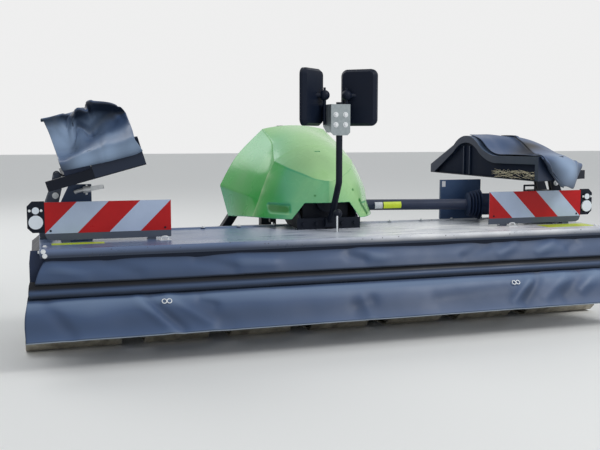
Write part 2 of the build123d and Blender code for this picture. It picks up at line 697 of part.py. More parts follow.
def build_hood():
    """Moulded cover: bow-shaped nose, raised panel with its step, shoulders, pockets and the arch below."""
    outer = hood_form(0)
    skin = outer - hood_hollow(POCKET_DEPTH)
    hood = outer - hood_hollow(HOOD_SHEET)
    front = HOOD_NOSE[0][0]
    floor = HOOD_NOSE[1][1][1]
    low = HOOD_BACK[-1][1][1] - 60
    slope = (ARCH_HALF_FOOT - ARCH_HALF_TOP - ARCH_CORNER) / (ARCH_TOP - ARCH_CORNER - floor)
    foot = ARCH_HALF_FOOT + slope * (floor - low)
    arch = along_y([
        (-foot, low), (-ARCH_HALF_TOP - ARCH_CORNER, ARCH_TOP - ARCH_CORNER), (-ARCH_HALF_TOP, ARCH_TOP),
        (ARCH_HALF_TOP, ARCH_TOP), (ARCH_HALF_TOP + ARCH_CORNER, ARCH_TOP - ARCH_CORNER), (foot, low)],
        front - 10, front + ARCH_DEPTH)
    for side in (-1, 1):
        near, far = sorted((side * POCKET_INNER, side * POCKET_OUTER))
        pocket = block(near, far, front, HOOD_BACK[0][0] - 20, POCKET_BOTTOM, POCKET_TOP)
        hood -= (Pos(HOOD_X, 0, 0) * pocket) & skin
    notch = block(GEARBOX_HALF_WIDTH + DRIVE_NOTCH_REACH, MACHINE_HALF_WIDTH, DRIVE_START_Y - DRIVE_NOTCH_REACH,
                  DRIVE_START_Y + DRIVE_NOTCH_BACK, low, DRIVE_Z + TUBE_RADIUS + DRIVE_NOTCH_GAP)
    slot = block(HOOD_X - SLOT_LENGTH / 2, HOOD_X + SLOT_LENGTH / 2, SLOT_Y - SLOT_WIDTH / 2, SLOT_Y + SLOT_WIDTH / 2,
                 GEARBOX_TOP, HOOD_BACK[-1][-1])
    return hood - Pos(HOOD_X, 0, 0) * arch - notch - slot


def build_gearbox_supports():
    """Two uprights on the deck with a bolted front plate between them."""
    top = GEARBOX_TOP - 60
    side = along_x([
        (SUPPORT_FRONT + 8, DECK_TOP), (BEAM_REAR, DECK_TOP + DECK_STEP_RISE + 1), (BEAM_REAR + 130, DECK_TOP + 60),
        (BEAM_REAR + 130, top), (GEARBOX_FRONT + 40, top), (SUPPORT_FRONT + 8, SUPPORT_PLATE_TOP)],
        SUPPORT_X, SUPPORT_X + SUPPORT_SHEET)
    side -= block(SUPPORT_X - 1, SUPPORT_X + SUPPORT_SHEET + 1, DECK_BACK - DECK_STEP_DEPTH - 1,
                  DECK_BACK + 1, DECK_TOP - 1, DECK_TOP + DECK_STEP_RISE)
    supports = side + mirrored(side)
    supports += block(-SUPPORT_PLATE_HALF, SUPPORT_PLATE_HALF, SUPPORT_FRONT, SUPPORT_FRONT + 8,
                      DECK_TOP, SUPPORT_PLATE_TOP)
    supports += block(-SUPPORT_X, SUPPORT_X, GEARBOX_FRONT + 30, GEARBOX_REAR - 90,
                      GEARBOX_BOTTOM - 10, GEARBOX_BOTTOM)
    room = hood_hollow(HOOD_SHEET + SEAM_GAP)
    widest = max(section[2][0] for section in HOOD_NOSE + HOOD_BACK)
    for y in HOOD_REST_YS:
        rest = block(SUPPORT_X + 1, widest, y, y + HOOD_REST_WIDTH, HOOD_REST_TOP - 12, HOOD_REST_TOP)
        supports += rest & room
        supports += mirrored(rest) & room
    shaft_hole = rod((SUPPORT_X - 30, DRIVE_START_Y, DRIVE_Z), (SUPPORT_X + 40, DRIVE_START_Y, DRIVE_Z), 58)
    return supports - shaft_hole


def build_centre_gearbox():
    half = GEARBOX_HALF_WIDTH
    cut = 34
    outline = [
        (-half, GEARBOX_BOTTOM), (half, GEARBOX_BOTTOM), (half, GEARBOX_TOP - cut),
        (half - cut, GEARBOX_TOP), (-half + cut, GEARBOX_TOP), (-half, GEARBOX_TOP - cut)]
    box = along_y(outline, GEARBOX_FRONT, GEARBOX_REAR - 40)
    box += rod((0, GEARBOX_REAR - 41, STUB_Z), (0, GEARBOX_REAR, STUB_Z), 62)
    box += rod((0, GEARBOX_FRONT + 1, STUB_Z), (0, GEARBOX_FRONT - 34, STUB_Z), 58)
    box += rod((half - 1, DRIVE_START_Y, DRIVE_Z), (half + 52, DRIVE_START_Y, DRIVE_Z), 50)
    bore = rod((0, GEARBOX_REAR - STUB_SEAT, STUB_Z), (0, GEARBOX_REAR + 1, STUB_Z), JOURNAL_RADIUS + RUNNING_GAP)
    return box - bore


def build_pto_stub():
    """Input stub with its bearing journal, drawn at the splines' outer circle."""
    shoulder = GEARBOX_REAR + JOURNAL_PROUD
    stub = rod((0, GEARBOX_REAR - STUB_SEAT + 0.5, STUB_Z), (0, shoulder, STUB_Z), JOURNAL_RADIUS)
    return stub + rod((0, shoulder - 1, STUB_Z), (0, shoulder + STUB_LENGTH, STUB_Z), STUB_RADIUS)


def drive_point(x):
    """Point on the slanted axis of the cross drive at one X."""
    start = GEARBOX_HALF_WIDTH + 52
    end = OUTER_DISC_X - SIDE_BOX_RADIUS
    share = (x - start) / (end - start)
    return (x, DRIVE_START_Y + share * (DRIVE_END_Y - DRIVE_START_Y), DRIVE_Z)


def build_shaft_guard():
    """Guard tube of the cross drive, from the centre gearbox to the bellows."""
    return rod(drive_point(GEARBOX_HALF_WIDTH + 62), drive_point(BELLOWS_LEFT), TUBE_RADIUS)


def build_bellows():
    """Ribbed cone that widens towards the side gearbox, turned about the drive's axis."""
    points = [(0, TUBE_RADIUS)]
    for ring in range(BELLOWS_RINGS):
        z = ring * BELLOWS_PITCH
        grow = 0.72 + 0.28 * (ring + 1) / BELLOWS_RINGS
        points.append((z + 2, BELLOWS_VALLEY * grow))
        points.append((z + BELLOWS_PITCH / 2 - 1, BELLOWS_RADIUS * grow))
        points.append((z + BELLOWS_PITCH / 2 + 2, BELLOWS_RADIUS * grow))
    end = BELLOWS_RINGS * BELLOWS_PITCH
    points.append((end, BELLOWS_VALLEY))
    points.append((end + BELLOWS_SLEEVE, BELLOWS_VALLEY))
    points.append((end + BELLOWS_SLEEVE, 0))
    points.append((0, 0))
    turned = revolve(Plane.XZ * Polygon(*[(r, z) for z, r in points], align=None), axis=Axis.Z)
    start = Vector(*drive_point(BELLOWS_LEFT))
    run = Vector(*drive_point(OUTER_DISC_X)) - start
    return Plane(origin=start, z_dir=run) * turned


def build_side_gearbox():
    """Upright bevel box over the last disc, its input neck, and the guard of the drop shaft."""
    upright = (Align.CENTER, Align.CENTER, Align.MIN)
    place = Pos(OUTER_DISC_X, DISC_Y, DECK_TOP)
    box = place * Cylinder(SIDE_BOX_RADIUS, SIDE_BOX_TOP - DECK_TOP, align=upright)
    start = Vector(*drive_point(BELLOWS_LEFT))
    run = Vector(*drive_point(OUTER_DISC_X)) - start
    length = BELLOWS_RINGS * BELLOWS_PITCH + BELLOWS_SLEEVE
    neck_start = start + run.normalized() * length
    box += rod(tuple(neck_start), drive_point(OUTER_DISC_X - 20), SIDE_NECK_RADIUS)
    box += place * Cylinder(SIDE_BOX_RADIUS + 10, 12, align=upright)
    drop = rod((OUTER_DISC_X, DISC_Y, DROP_BOTTOM), (OUTER_DISC_X, DISC_Y, DECK_TOP + 5), DROP_RADIUS)
    return box + drop


def build_drive_panel():
    y = PANEL_Y
    low = DECK_TOP + DECK_STEP_RISE
    panel = block(PANEL_LEFT, PANEL_RIGHT, y, y + 4, low, PANEL_TOP)
    panel += block(PANEL_LEFT, PANEL_RIGHT, y, DECK_BACK, low, low + 4)
    panel += block(PANEL_LEFT, PANEL_RIGHT, y, y + PANEL_RIM, PANEL_TOP - 4, PANEL_TOP)
    panel += block(PANEL_LEFT, PANEL_LEFT + 4, y, y + PANEL_RIM, DECK_TOP + DECK_STEP_RISE, PANEL_TOP)
    return panel


def build_mirror_post():
    """Bent tube from the gearbox plate up to the mirror bracket, with its ball knob and tie rod."""
    route = [
        (0, SUPPORT_FRONT - POST_RADIUS, POST_START_Z), (0, POST_FOOT_Y, POST_FOOT_Z),
        (0, POST_Y, POST_BEND_Z), (0, POST_Y, POST_TOP)]
    path = FilletPolyline(*[Vector(*p) for p in route], radius=POST_BEND)
    section = Plane(origin=path @ 0, z_dir=path % 0) * Circle(POST_RADIUS)
    post = sweep(section, path=path)
    pad_top = SUPPORT_PLATE_TOP - 2
    post += block(-POST_PAD_HALF, POST_PAD_HALF, SUPPORT_FRONT - POST_RADIUS - 6, SUPPORT_FRONT,
                  pad_top - POST_PAD_HEIGHT, pad_top)
    ball = (0, TIE_Y, TIE_Z)
    post += rod((0, POST_FOOT_Y + 4, POST_FOOT_Z), ball, 9)
    post += Pos(*ball) * Sphere(TIE_KNOB)
    return post + rod((0, TIE_Y, DECK_TOP), ball, TIE_RADIUS)


def build_mirror_bracket():
    """Channel of galvanised sheet: front plate, two flanges beside the post and a stem at each flange."""
    front = POST_Y - POST_RADIUS - SEAM_GAP
    cut = BRACKET_CORNER
    outline = [
        (-BRACKET_HALF + cut, BRACKET_BOTTOM), (BRACKET_HALF - cut, BRACKET_BOTTOM),
        (BRACKET_HALF, BRACKET_BOTTOM + cut), (BRACKET_HALF, BRACKET_TOP), (-BRACKET_HALF, BRACKET_TOP),
        (-BRACKET_HALF, BRACKET_BOTTOM + cut)]
    bracket = along_y(outline, front - BRACKET_SHEET, front)
    for side in (-1, 1):
        flange = [(front - 1, BRACKET_BOTTOM + cut), (BRACKET_REAR - 50, BRACKET_BOTTOM + cut),
                  (BRACKET_REAR, BRACKET_BOTTOM + cut + 30), (BRACKET_REAR, BRACKET_TOP), (front - 1, BRACKET_TOP)]
        bracket += along_x(flange, *sorted((side * BRACKET_HALF, side * (BRACKET_HALF - BRACKET_SHEET))))
    return bracket


def build_mirror(side):
    """Rounded housing with a domed back, and the ball clamp and stem that hold it to the bracket's flange."""
    face = RectangleRounded(MIRROR_WIDTH, MIRROR_HEIGHT, MIRROR_CORNER)
    plate = extrude(Plane.XZ * face, amount=MIRROR_DEPTH / 2)
    back = extrude(Plane.XZ.offset(MIRROR_DEPTH / 2) * face, amount=MIRROR_DEPTH / 2, taper=38)
    head = Rot(0, 0, -side * MIRROR_TURN) * (plate + back)
    head = Pos(side * MIRROR_X, MIRROR_Y, MIRROR_Z) * head
    stem_x = side * (BRACKET_HALF + SEAM_GAP + STEM_RADIUS)
    ball = (stem_x, STEM_Y, BALL_Z)
    stem = rod((stem_x, STEM_Y, STEM_BOTTOM), ball, STEM_RADIUS)
    peg = rod(ball, (side * (MIRROR_X - 12), MIRROR_Y - 6, BALL_Z), STEM_RADIUS + 4)
    screw = rod(ball, (stem_x, STEM_Y, BALL_Z + BALL_RADIUS + 12), STEM_RADIUS - 2)
    return head + stem + peg + screw + Pos(*ball) * Sphere(BALL_RADIUS)


def wave_outline(rise, y_front, y_rear):
    """Closed outline from the floor up to the wave, offset down by rise, of lines and arcs."""
    floor = GUARD_FLOOR + GUARD_FLOOR_SHEET
    crest = GUARD_CREST_Z - rise
    trough = GUARD_TROUGH_Z - rise
    tail = GUARD_TAIL_Z - rise
    half_y = (GUARD_TROUGH_Y + GUARD_CREST_Y) / 2
    half_z = (trough + crest) / 2
    with BuildSketch(Plane.YZ) as sketch:
        with BuildLine():
            Line((y_front, floor), (y_front, trough + 5))
            Line((y_front, trough + 5), (GUARD_TROUGH_Y - 30, trough))
            ThreePointArc((GUARD_TROUGH_Y - 30, trough), (GUARD_TROUGH_Y + 60, trough + 16), (half_y, half_z))
            ThreePointArc((half_y, half_z), (GUARD_CREST_Y, crest), (2 * GUARD_CREST_Y - half_y, half_z))
            Line((2 * GUARD_CREST_Y - half_y, half_z), (y_rear, tail))
            Line((y_rear, tail), (y_rear, floor))
            Line((y_rear, floor), (y_front, floor))
        make_face()
    return sketch.sketch


def behind_front(inset):
    """Everything behind the guard's slanted front edge, for cutting its pieces to that slant."""
    near, far = GUARD_LIP_X - 50, GUARD_TIP_X + 50
    return along_z([
        (near, front_edge(near) + inset), (far, front_edge(far) + inset), (far, GUARD_REAR + 50),
        (near, GUARD_REAR + 50)], GUARD_FLOOR, GUARD_CREST_Z + 50)


def build_guard_shell():
    """Wave-shaped moulding, open below, with a lip along its inner edge and a ribbed web under it."""
    inner_x = GUARD_LIP_X
    outer_x = GUARD_LIP_X + GUARD_SHELL_WIDTH
    body = Pos(inner_x, 0, 0) * extrude(wave_outline(0, GUARD_FRONT_INNER, GUARD_REAR), amount=outer_x - inner_x)
    body &= behind_front(0)
    hollow = Pos(inner_x + 30, 0, 0) * extrude(
        wave_outline(GUARD_SHELL_SHEET, GUARD_FRONT_INNER, GUARD_REAR - GUARD_SHELL_SHEET),
        amount=outer_x - inner_x)
    hollow &= behind_front(GUARD_SHELL_SHEET)
    recess = Pos(inner_x - 1, 0, 0) * extrude(
        wave_outline(GUARD_LIP_BAND, GUARD_FRONT_INNER + 30, GUARD_REAR - 60), amount=24)
    shell = body - hollow - recess
    web = Pos(inner_x + 22, 0, 0) * extrude(
        wave_outline(GUARD_LIP_BAND - 2, GUARD_FRONT_INNER + 28, GUARD_REAR - 58), amount=9)
    shell += web
    for y in (GUARD_CREST_Y - 30, GUARD_CREST_Y + 40):
        shell += block(inner_x + 10, inner_x + 24, y, y + 8, GUARD_FLOOR + GUARD_FLOOR_SHEET,
                       GUARD_CREST_Z - GUARD_LIP_BAND - 20)
    return shell


def front_edge(x):
    """Y of the guard's slanted front edge at one X."""
    share = (x - GUARD_LIP_X) / (GUARD_TIP_X - GUARD_LIP_X)
    return GUARD_FRONT_INNER + share * (GUARD_FRONT_OUTER - GUARD_FRONT_INNER)


def build_guard_frame():
    """Floor sheet with edge rails and the ears that take the hinge pins."""
    rear = GUARD_REAR - 120
    floor = along_z([
        (GUARD_LIP_X, GUARD_FRONT_INNER), (GUARD_TIP_X, GUARD_FRONT_OUTER), (GUARD_TIP_X, GUARD_TIP_BACK),
        (GUARD_OUTER_X, GUARD_TIP_BACK), (GUARD_OUTER_X, rear), (GUARD_LIP_X, GUARD_REAR)],
        GUARD_FLOOR, GUARD_FLOOR + GUARD_FLOOR_SHEET)
    top = GUARD_FLOOR + GUARD_RAIL
    rail = block(GUARD_OUTER_X - 30, GUARD_OUTER_X, GUARD_TIP_BACK, rear, GUARD_FLOOR, top)
    inner = GUARD_LIP_X + GUARD_SHELL_WIDTH + SEAM_GAP
    front_rail = along_z([
        (inner, front_edge(inner)), (GUARD_TIP_X, GUARD_FRONT_OUTER), (GUARD_TIP_X, GUARD_FRONT_OUTER + 24),
        (inner, front_edge(inner) + 24)], GUARD_FLOOR, top)
    frame = floor + rail + front_rail
    for y in HINGE_YS:
        near, far = y - EAR_SHEET / 2, y + EAR_SHEET / 2
        ear = along_y([
            (GUARD_OUTER_X - 40, GUARD_FLOOR + 1), (HINGE_X - HINGE_EYE, HINGE_Z - 6), (HINGE_X, HINGE_Z - HINGE_EYE),
            (HINGE_X + HINGE_EYE, HINGE_Z), (HINGE_X, HINGE_Z + HINGE_EYE), (GUARD_OUTER_X, top - 8),
            (GUARD_OUTER_X - 40, top - 8)], near, far)
        ear += rod((HINGE_X, near, HINGE_Z), (HINGE_X, far, HINGE_Z), HINGE_EYE)
        frame += ear
        frame -= rod((HINGE_X, near - 1, HINGE_Z), (HINGE_X, far + 1, HINGE_Z), HINGE_PIN + RUNNING_GAP)
    return frame


def build_hinge_bracket():
    """Foot plates at the deck's edge, each with two cheeks leaning in to the hinge pin across them."""
    bracket = None
    outer = HINGE_X + BRACKET_FOOT
    inner = outer - BRACKET_FOOT_WIDTH
    for y in HINGE_YS:
        reach = EAR_SHEET / 2 + EAR_GAP + EAR_SHEET
        foot = block(inner - 12, outer, y - reach - 14, y + reach + 14, DECK_TOP, DECK_TOP + 8)
        for side in (-1, 1):
            ends = sorted((y + side * (EAR_SHEET / 2 + EAR_GAP), y + side * reach))
            foot += along_y([
                (inner, DECK_TOP + 7), (HINGE_X - HINGE_EYE, HINGE_Z - 60), (HINGE_X - HINGE_EYE, HINGE_Z),
                (HINGE_X - 8, HINGE_Z + HINGE_EYE - 2), (HINGE_X + 8, HINGE_Z + HINGE_EYE - 2),
                (HINGE_X + HINGE_EYE, HINGE_Z), (HINGE_X + HINGE_EYE + 8, HINGE_Z - 40), (outer - 2, DECK_TOP + 90),
                (outer - 2, DECK_TOP + 7)], *ends)
        foot += rod((HINGE_X, y - reach - 6, HINGE_Z), (HINGE_X, y + reach + 6, HINGE_Z), HINGE_PIN)
        bracket = foot if bracket is None else bracket + foot
    return bracket


def build_latch_plate():
    """Upright plate with a foot on the deck, behind the left board."""
    plate = along_y([
        (LATCH_INNER, DECK_TOP), (LATCH_OUTER, DECK_TOP), (LATCH_OUTER, LATCH_TOP - 90), (LATCH_OUTER - 44, LATCH_TOP),
        (LATCH_INNER, LATCH_TOP)], LATCH_Y, LATCH_Y + LATCH_SHEET)
    plate += block(LATCH_INNER, LATCH_OUTER, LATCH_Y - 30, LATCH_Y + 1, DECK_TOP, DECK_TOP + LATCH_SHEET)
    return mirrored(plate)


def build_headstock():
    """A-frame: cross tube with the lower pins, leaning legs, and cheeks for the top link."""
    half = LOWER_SPAN / 2
    top_z = LOWER_PIN_Z + MAST_HEIGHT
    low = LOWER_PIN_Z - HEAD_TUBE / 2
    head = block(-half, half, HITCH_Y - HEAD_TUBE / 2, HITCH_Y + HEAD_TUBE / 2, low, low + HEAD_TUBE)
    for side in (-1, 1):
        leg = along_y([
            (side * (half - 60), low + HEAD_TUBE - 5), (side * (half - 4), low + HEAD_TUBE - 5),
            (side * (CHEEK_GAP / 2 + CHEEK_SHEET), top_z - 30), (side * CHEEK_GAP / 2, top_z - 30),
            (side * CHEEK_GAP / 2, top_z - 90)], HITCH_Y - 30, HITCH_Y + 30)
        head += leg
        cheek_inner = CHEEK_GAP / 2
        cheek = block(min(side * cheek_inner, side * (cheek_inner + CHEEK_SHEET)),
                      max(side * cheek_inner, side * (cheek_inner + CHEEK_SHEET)),
                      HITCH_Y - 30, HALF_DEPTH, top_z - 70, top_z + 26)
        head += cheek
        head += rod((side * (half - 1), HITCH_Y, LOWER_PIN_Z),
                    (side * (half + LOWER_PIN_LENGTH), HITCH_Y, LOWER_PIN_Z), LOWER_PIN_RADIUS)
    head += block(-HEAD_BAR_HALF, HEAD_BAR_HALF, HITCH_Y - 22, HITCH_Y + 22, HEAD_BAR_Z - 25, HEAD_BAR_Z + 25)
    pin_hole = rod((-60, HITCH_Y + 32, top_z), (60, HITCH_Y + 32, top_z), TOP_PIN_BORE)
    sleeve = STAND_TUBE / 2 + STAND_CLEARANCE + STAND_SLEEVE_WALL
    head += block(STAND_X - sleeve, STAND_X + sleeve, HITCH_Y - HEAD_TUBE / 2 - 2 * sleeve,
                  HITCH_Y - HEAD_TUBE / 2, low - 60, low + HEAD_TUBE + 60)
    bore = STAND_TUBE / 2 + STAND_CLEARANCE
    centre_y = HITCH_Y - HEAD_TUBE / 2 - sleeve
    head -= block(STAND_X - bore, STAND_X + bore, centre_y - bore, centre_y + bore, low - 70, low + HEAD_TUBE + 70)
    return head - pin_hole


def build_parking_stand():
    sleeve = STAND_TUBE / 2 + STAND_CLEARANCE + STAND_SLEEVE_WALL
    centre_y = HITCH_Y - HEAD_TUBE / 2 - sleeve
    half = STAND_TUBE / 2
    inner = half - STAND_WALL
    leg = block(STAND_X - half, STAND_X + half, centre_y - half, centre_y + half, STAND_FOOT_SHEET - 1, STAND_TOP)
    leg -= block(STAND_X - inner, STAND_X + inner, centre_y - inner, centre_y + inner,
                 STAND_FOOT_SHEET + 20, STAND_TOP + 1)
    foot = block(STAND_X - STAND_FOOT / 2, STAND_X + STAND_FOOT / 2, centre_y - STAND_FOOT / 2,
                 centre_y + STAND_FOOT / 2, 0, STAND_FOOT_SHEET)
    return leg + foot


def build_float_arm():
    """Lower carrying arm from the beam's lugs back to the headstock's cross tube."""
    start = (FLOAT_X, LUG_Y, DECK_UNDER - BEAM_HEIGHT / 2)
    end = (FLOAT_X, HITCH_Y - HEAD_TUBE / 2 - 26, LOWER_PIN_Z)
    arm = rod(start, end, 24)
    for point in (start, end):
        arm += rod((FLOAT_X - FLOAT_EYE_HALF, point[1], point[2]), (FLOAT_X + FLOAT_EYE_HALF, point[1], point[2]), 26)
    return arm


def build_top_arm():
    """Upper link from the headstock's cross bar to the gearbox."""
    start = (0, GEARBOX_REAR - 80, GEARBOX_TOP + 26)
    end = (0, HITCH_Y - 22 - 24, HEAD_BAR_Z)
    arm = rod(start, end, 20)
    for point in (start, end):
        arm += rod((-26, point[1], point[2]), (26, point[1], point[2]), 24)
    return arm


def build_springs():
    """Two relief springs from the headstock's bar down to the beam, each a coil round its rod."""
    springs = None
    for side in (-1, 1):
        start = Vector(side * (HEAD_BAR_HALF - 20), HITCH_Y - 22 - SPRING_EYE_RADIUS, HEAD_BAR_Z)
        end = Vector(side * SPRING_LUG_X, LUG_Y, SPRING_LUG_Z)
        run = end - start
        spring = rod(tuple(start), tuple(end), 8)
        spring += rod(tuple(start + run * 0.2), tuple(start + run * 0.8), 30)
        for point in (start, end):
            spring += rod((point.X - SPRING_EYE_HALF, point.Y, point.Z), (point.X + SPRING_EYE_HALF, point.Y, point.Z),
                          SPRING_EYE_RADIUS)
        springs = spring if springs is None else springs + spring
    return springs


def build_guard_cloth(table):
    """Closed solid of a thrown-over curtain between its sections, lying on the moulding and the floor's edge."""
    sections = []
    for from_lip, *points in table:
        x = GUARD_LIP_X + from_lip
        front = [(front_edge(x) + y, GUARD_TROUGH_Z + z) for y, z in points[:2]]
        line = front + [(y, GUARD_CREST_Z + z) for y, z in points[2:]]
        sections.append(Plane.YZ.offset(x) * Polygon(*folded(line, CURTAIN_CLOTH), align=None))
    cloth = loft(sections, ruled=True)
    reach = GUARD_SHELL_WIDTH + 2 * SEAM_GAP
    under = extrude(wave_outline(-SEAM_GAP, GUARD_FRONT_INNER, GUARD_REAR), amount=reach)
    under = Pos(GUARD_LIP_X - SEAM_GAP, 0, 0) * under & behind_front(-SEAM_GAP)
    return cloth - under


def place_left(shape):
    """Left-hand guard piece: mirrored, and folded a little less far."""
    piece = mirrored(shape)
    hinge = Axis((-HINGE_X, 0, HINGE_Z), (0, 1, 0))
    return piece.rotate(hinge, -GUARD_TILT_LEFT)


def main():
    save(build_deck(), "deck")
    save(build_cutterbar(), "cutterbar")
    save(build_skid_shoes(), "skid_shoes")
    for index in range(DISC_COUNT):
        save(build_disc(index), "disc_" + str(index + 1))
    save(build_main_beam(), "main_beam")
    arm = build_carrier_arm()
    save(arm, "carrier_arm_right")
    save(mirrored(arm), "carrier_arm_left")
    cover = build_end_cover()
    save(cover, "end_cover_right")
    save(mirrored(cover), "end_cover_left")
    save(build_curtain_upper(), "curtain_upper")
    save(build_curtain_rib(), "curtain_rib")
    save(build_curtain_lower(), "curtain_lower")
    board = build_board()
    save(board, "board_right")
    save(mirrored(board), "board_left")
    save(build_board_handle(), "board_handle")
    plate = build_light_plate()
    save(plate, "light_plate_right")
    save(mirrored(plate), "light_plate_left")
    save(build_lamp_lenses(), "lamp_lenses")
    save(build_reflectors(), "reflectors")
    save(build_hood(), "hood")
    save(build_gearbox_supports(), "gearbox_supports")
    save(build_centre_gearbox(), "centre_gearbox")
    save(build_pto_stub(), "pto_stub")
    save(build_shaft_guard(), "shaft_guard")
    save(build_bellows(), "bellows")
    save(build_side_gearbox(), "side_gearbox")
    save(build_drive_panel(), "drive_panel")
    save(build_mirror_post(), "mirror_post")
    save(build_mirror_bracket(), "mirror_bracket")
    for side, name in ((-1, "mirror_left"), (1, "mirror_right")):
        save(build_mirror(side), name)
    bracket = build_hinge_bracket()
    save(bracket, "hinge_bracket_right")
    save(mirrored(bracket), "hinge_bracket_left")
    save(build_latch_plate(), "latch_plate")
    frame = build_guard_frame()
    shell = build_guard_shell()
    cloth = build_guard_cloth(CLOTH_RIGHT)
    save(frame, "guard_frame_right")
    save(shell, "guard_shell_right")
    save(cloth, "guard_cloth_right")
    save(place_left(frame), "guard_frame_left")
    save(place_left(shell), "guard_shell_left")
    save(place_left(build_guard_cloth(CLOTH_LEFT)), "guard_cloth_left")
    save(build_headstock(), "headstock")
    save(build_parking_stand(), "parking_stand")
    float_arm = build_float_arm()
    save(float_arm, "float_arm_right")
    save(mirrored(float_arm), "float_arm_left")
    save(build_top_arm(), "top_arm")
    save(build_springs(), "relief_springs")


main()
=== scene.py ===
"""Looks of a front disc mower in transport position, dressed over its CAD frame. Metres, Z up."""
import math

import bmesh
import bpy
from mathutils import Matrix, Vector, noise


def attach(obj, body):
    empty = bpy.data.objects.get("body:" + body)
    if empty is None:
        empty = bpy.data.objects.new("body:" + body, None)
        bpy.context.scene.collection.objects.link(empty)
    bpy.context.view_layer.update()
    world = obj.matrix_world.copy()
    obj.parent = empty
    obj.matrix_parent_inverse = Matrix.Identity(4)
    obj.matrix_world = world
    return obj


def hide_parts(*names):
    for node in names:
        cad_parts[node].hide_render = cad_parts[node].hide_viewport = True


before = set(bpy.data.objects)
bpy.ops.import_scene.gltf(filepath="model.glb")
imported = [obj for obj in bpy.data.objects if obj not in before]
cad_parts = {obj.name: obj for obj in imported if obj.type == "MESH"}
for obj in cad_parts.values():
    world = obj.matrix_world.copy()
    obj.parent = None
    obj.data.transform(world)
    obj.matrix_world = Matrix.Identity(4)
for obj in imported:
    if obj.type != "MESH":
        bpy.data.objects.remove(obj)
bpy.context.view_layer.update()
MM = 0.001

# Camera
PHOTO_WIDTH_PX = 600
FOCAL_PX = 827
SENSOR_MM = 36.0
CAMERA_AT = (-1.428, -4.155, 0.979)
CAMERA_PITCH_DOWN = 6.2
CAMERA_YAW_RIGHT = 17.6


def linked(name, data):
    """A new object in the scene."""
    thing = bpy.data.objects.new(name, data)
    bpy.context.scene.collection.objects.link(thing)
    return thing


def place_camera():
    data = bpy.data.cameras.new("photo_camera")
    data.sensor_width = SENSOR_MM
    data.lens = FOCAL_PX / PHOTO_WIDTH_PX * SENSOR_MM
    camera = linked("photo_camera", data)
    camera.location = CAMERA_AT
    camera.rotation_euler = (math.radians(90 - CAMERA_PITCH_DOWN), 0, math.radians(-CAMERA_YAW_RIGHT))
    bpy.context.scene.camera = camera


place_camera()


# Materials
def linear(code):
    """sRGB hex to linear RGBA."""
    parts = [int(code[i:i + 2], 16) / 255 for i in (1, 3, 5)]
    return tuple(c / 12.92 if c <= 0.04045 else ((c + 0.055) / 1.055) ** 2.4 for c in parts) + (1.0,)


def feed(tree, node, inputs):
    """Fills a node's inputs, in order or by name or number. A node or socket is linked, a hex code becomes a
    linear colour, and anything else is set as it is."""
    for key, value in inputs.items() if isinstance(inputs, dict) else enumerate(inputs):
        if isinstance(value, bpy.types.Node):
            value = value.outputs[0]
        if isinstance(value, bpy.types.NodeSocket):
            tree.links.new(value, node.inputs[key])
        elif isinstance(value, str) and value.startswith("#"):
            node.inputs[key].default_value = linear(value)
        else:
            node.inputs[key].default_value = value


def add_node(tree, kind, inputs=(), **settings):
    """One node with its settings and its inputs."""
    node = tree.nodes.new(kind)
    for name, value in settings.items():
        setattr(node, name, value)
    feed(tree, node, inputs)
    return node


def new_material(name):
    material = bpy.data.materials.new(name)
    material.use_nodes = True
    tree = material.node_tree
    tree.nodes.clear()
    shader = add_node(tree, "ShaderNodeBsdfPrincipled")
    add_node(tree, "ShaderNodeOutputMaterial", [shader])
    return material, tree, shader, add_node(tree, "ShaderNodeTexCoord").outputs["Object"]


def facing(tree, direction, low, high):
    """How far the surface faces a direction, from 0 at low to 1 at high."""
    normal = add_node(tree, "ShaderNodeNewGeometry").outputs["Normal"]
    lean = add_node(tree, "ShaderNodeVectorMath", [normal, Vector(direction).normalized()], operation="DOT_PRODUCT")
    return add_node(tree, "ShaderNodeMapRange", [lean.outputs["Value"], low, high], interpolation_type="SMOOTHSTEP")


def height(tree, coords, low, high):
    """How high the place is, from 0 at low to 1 at high, in metres."""
    axes = add_node(tree, "ShaderNodeSeparateXYZ", [coords])
    return add_node(tree, "ShaderNodeMapRange", [axes.outputs["Z"], low, high])


def coated(tree, colour, *coats):
    """A colour with others laid over it in turn, each by its own share."""
    for share, over in coats:
        colour = add_node(tree, "ShaderNodeMix", {0: share, 6: colour, 7: over}, data_type="RGBA").outputs[2]
    return colour


def shade_shares(tree):
    """The painted shade and painted light at a place, from the mesh's shade attribute, which is positive where shade
    is painted.
    """
    dark = add_node(tree, "ShaderNodeAttribute", attribute_name="shade").outputs["Fac"]
    return dark, add_node(tree, "ShaderNodeMath", [dark, -1.0], operation="MULTIPLY", use_clamp=True)


def join_up(tree, shader, colour, drift, rough, relief, strength, depth_mm, levels=()):
    """Gives a shader its colour, a roughness that drifts between two values, its relief and its even levels."""
    gloss = add_node(tree, "ShaderNodeMapRange", [drift, 0.3, 0.7, *rough])
    bump = add_node(tree, "ShaderNodeBump", {"Height": relief, "Strength": strength, "Distance": depth_mm * MM})
    feed(tree, shader, {"Base Color": colour, "Roughness": gloss, "Normal": bump, **dict(levels)})


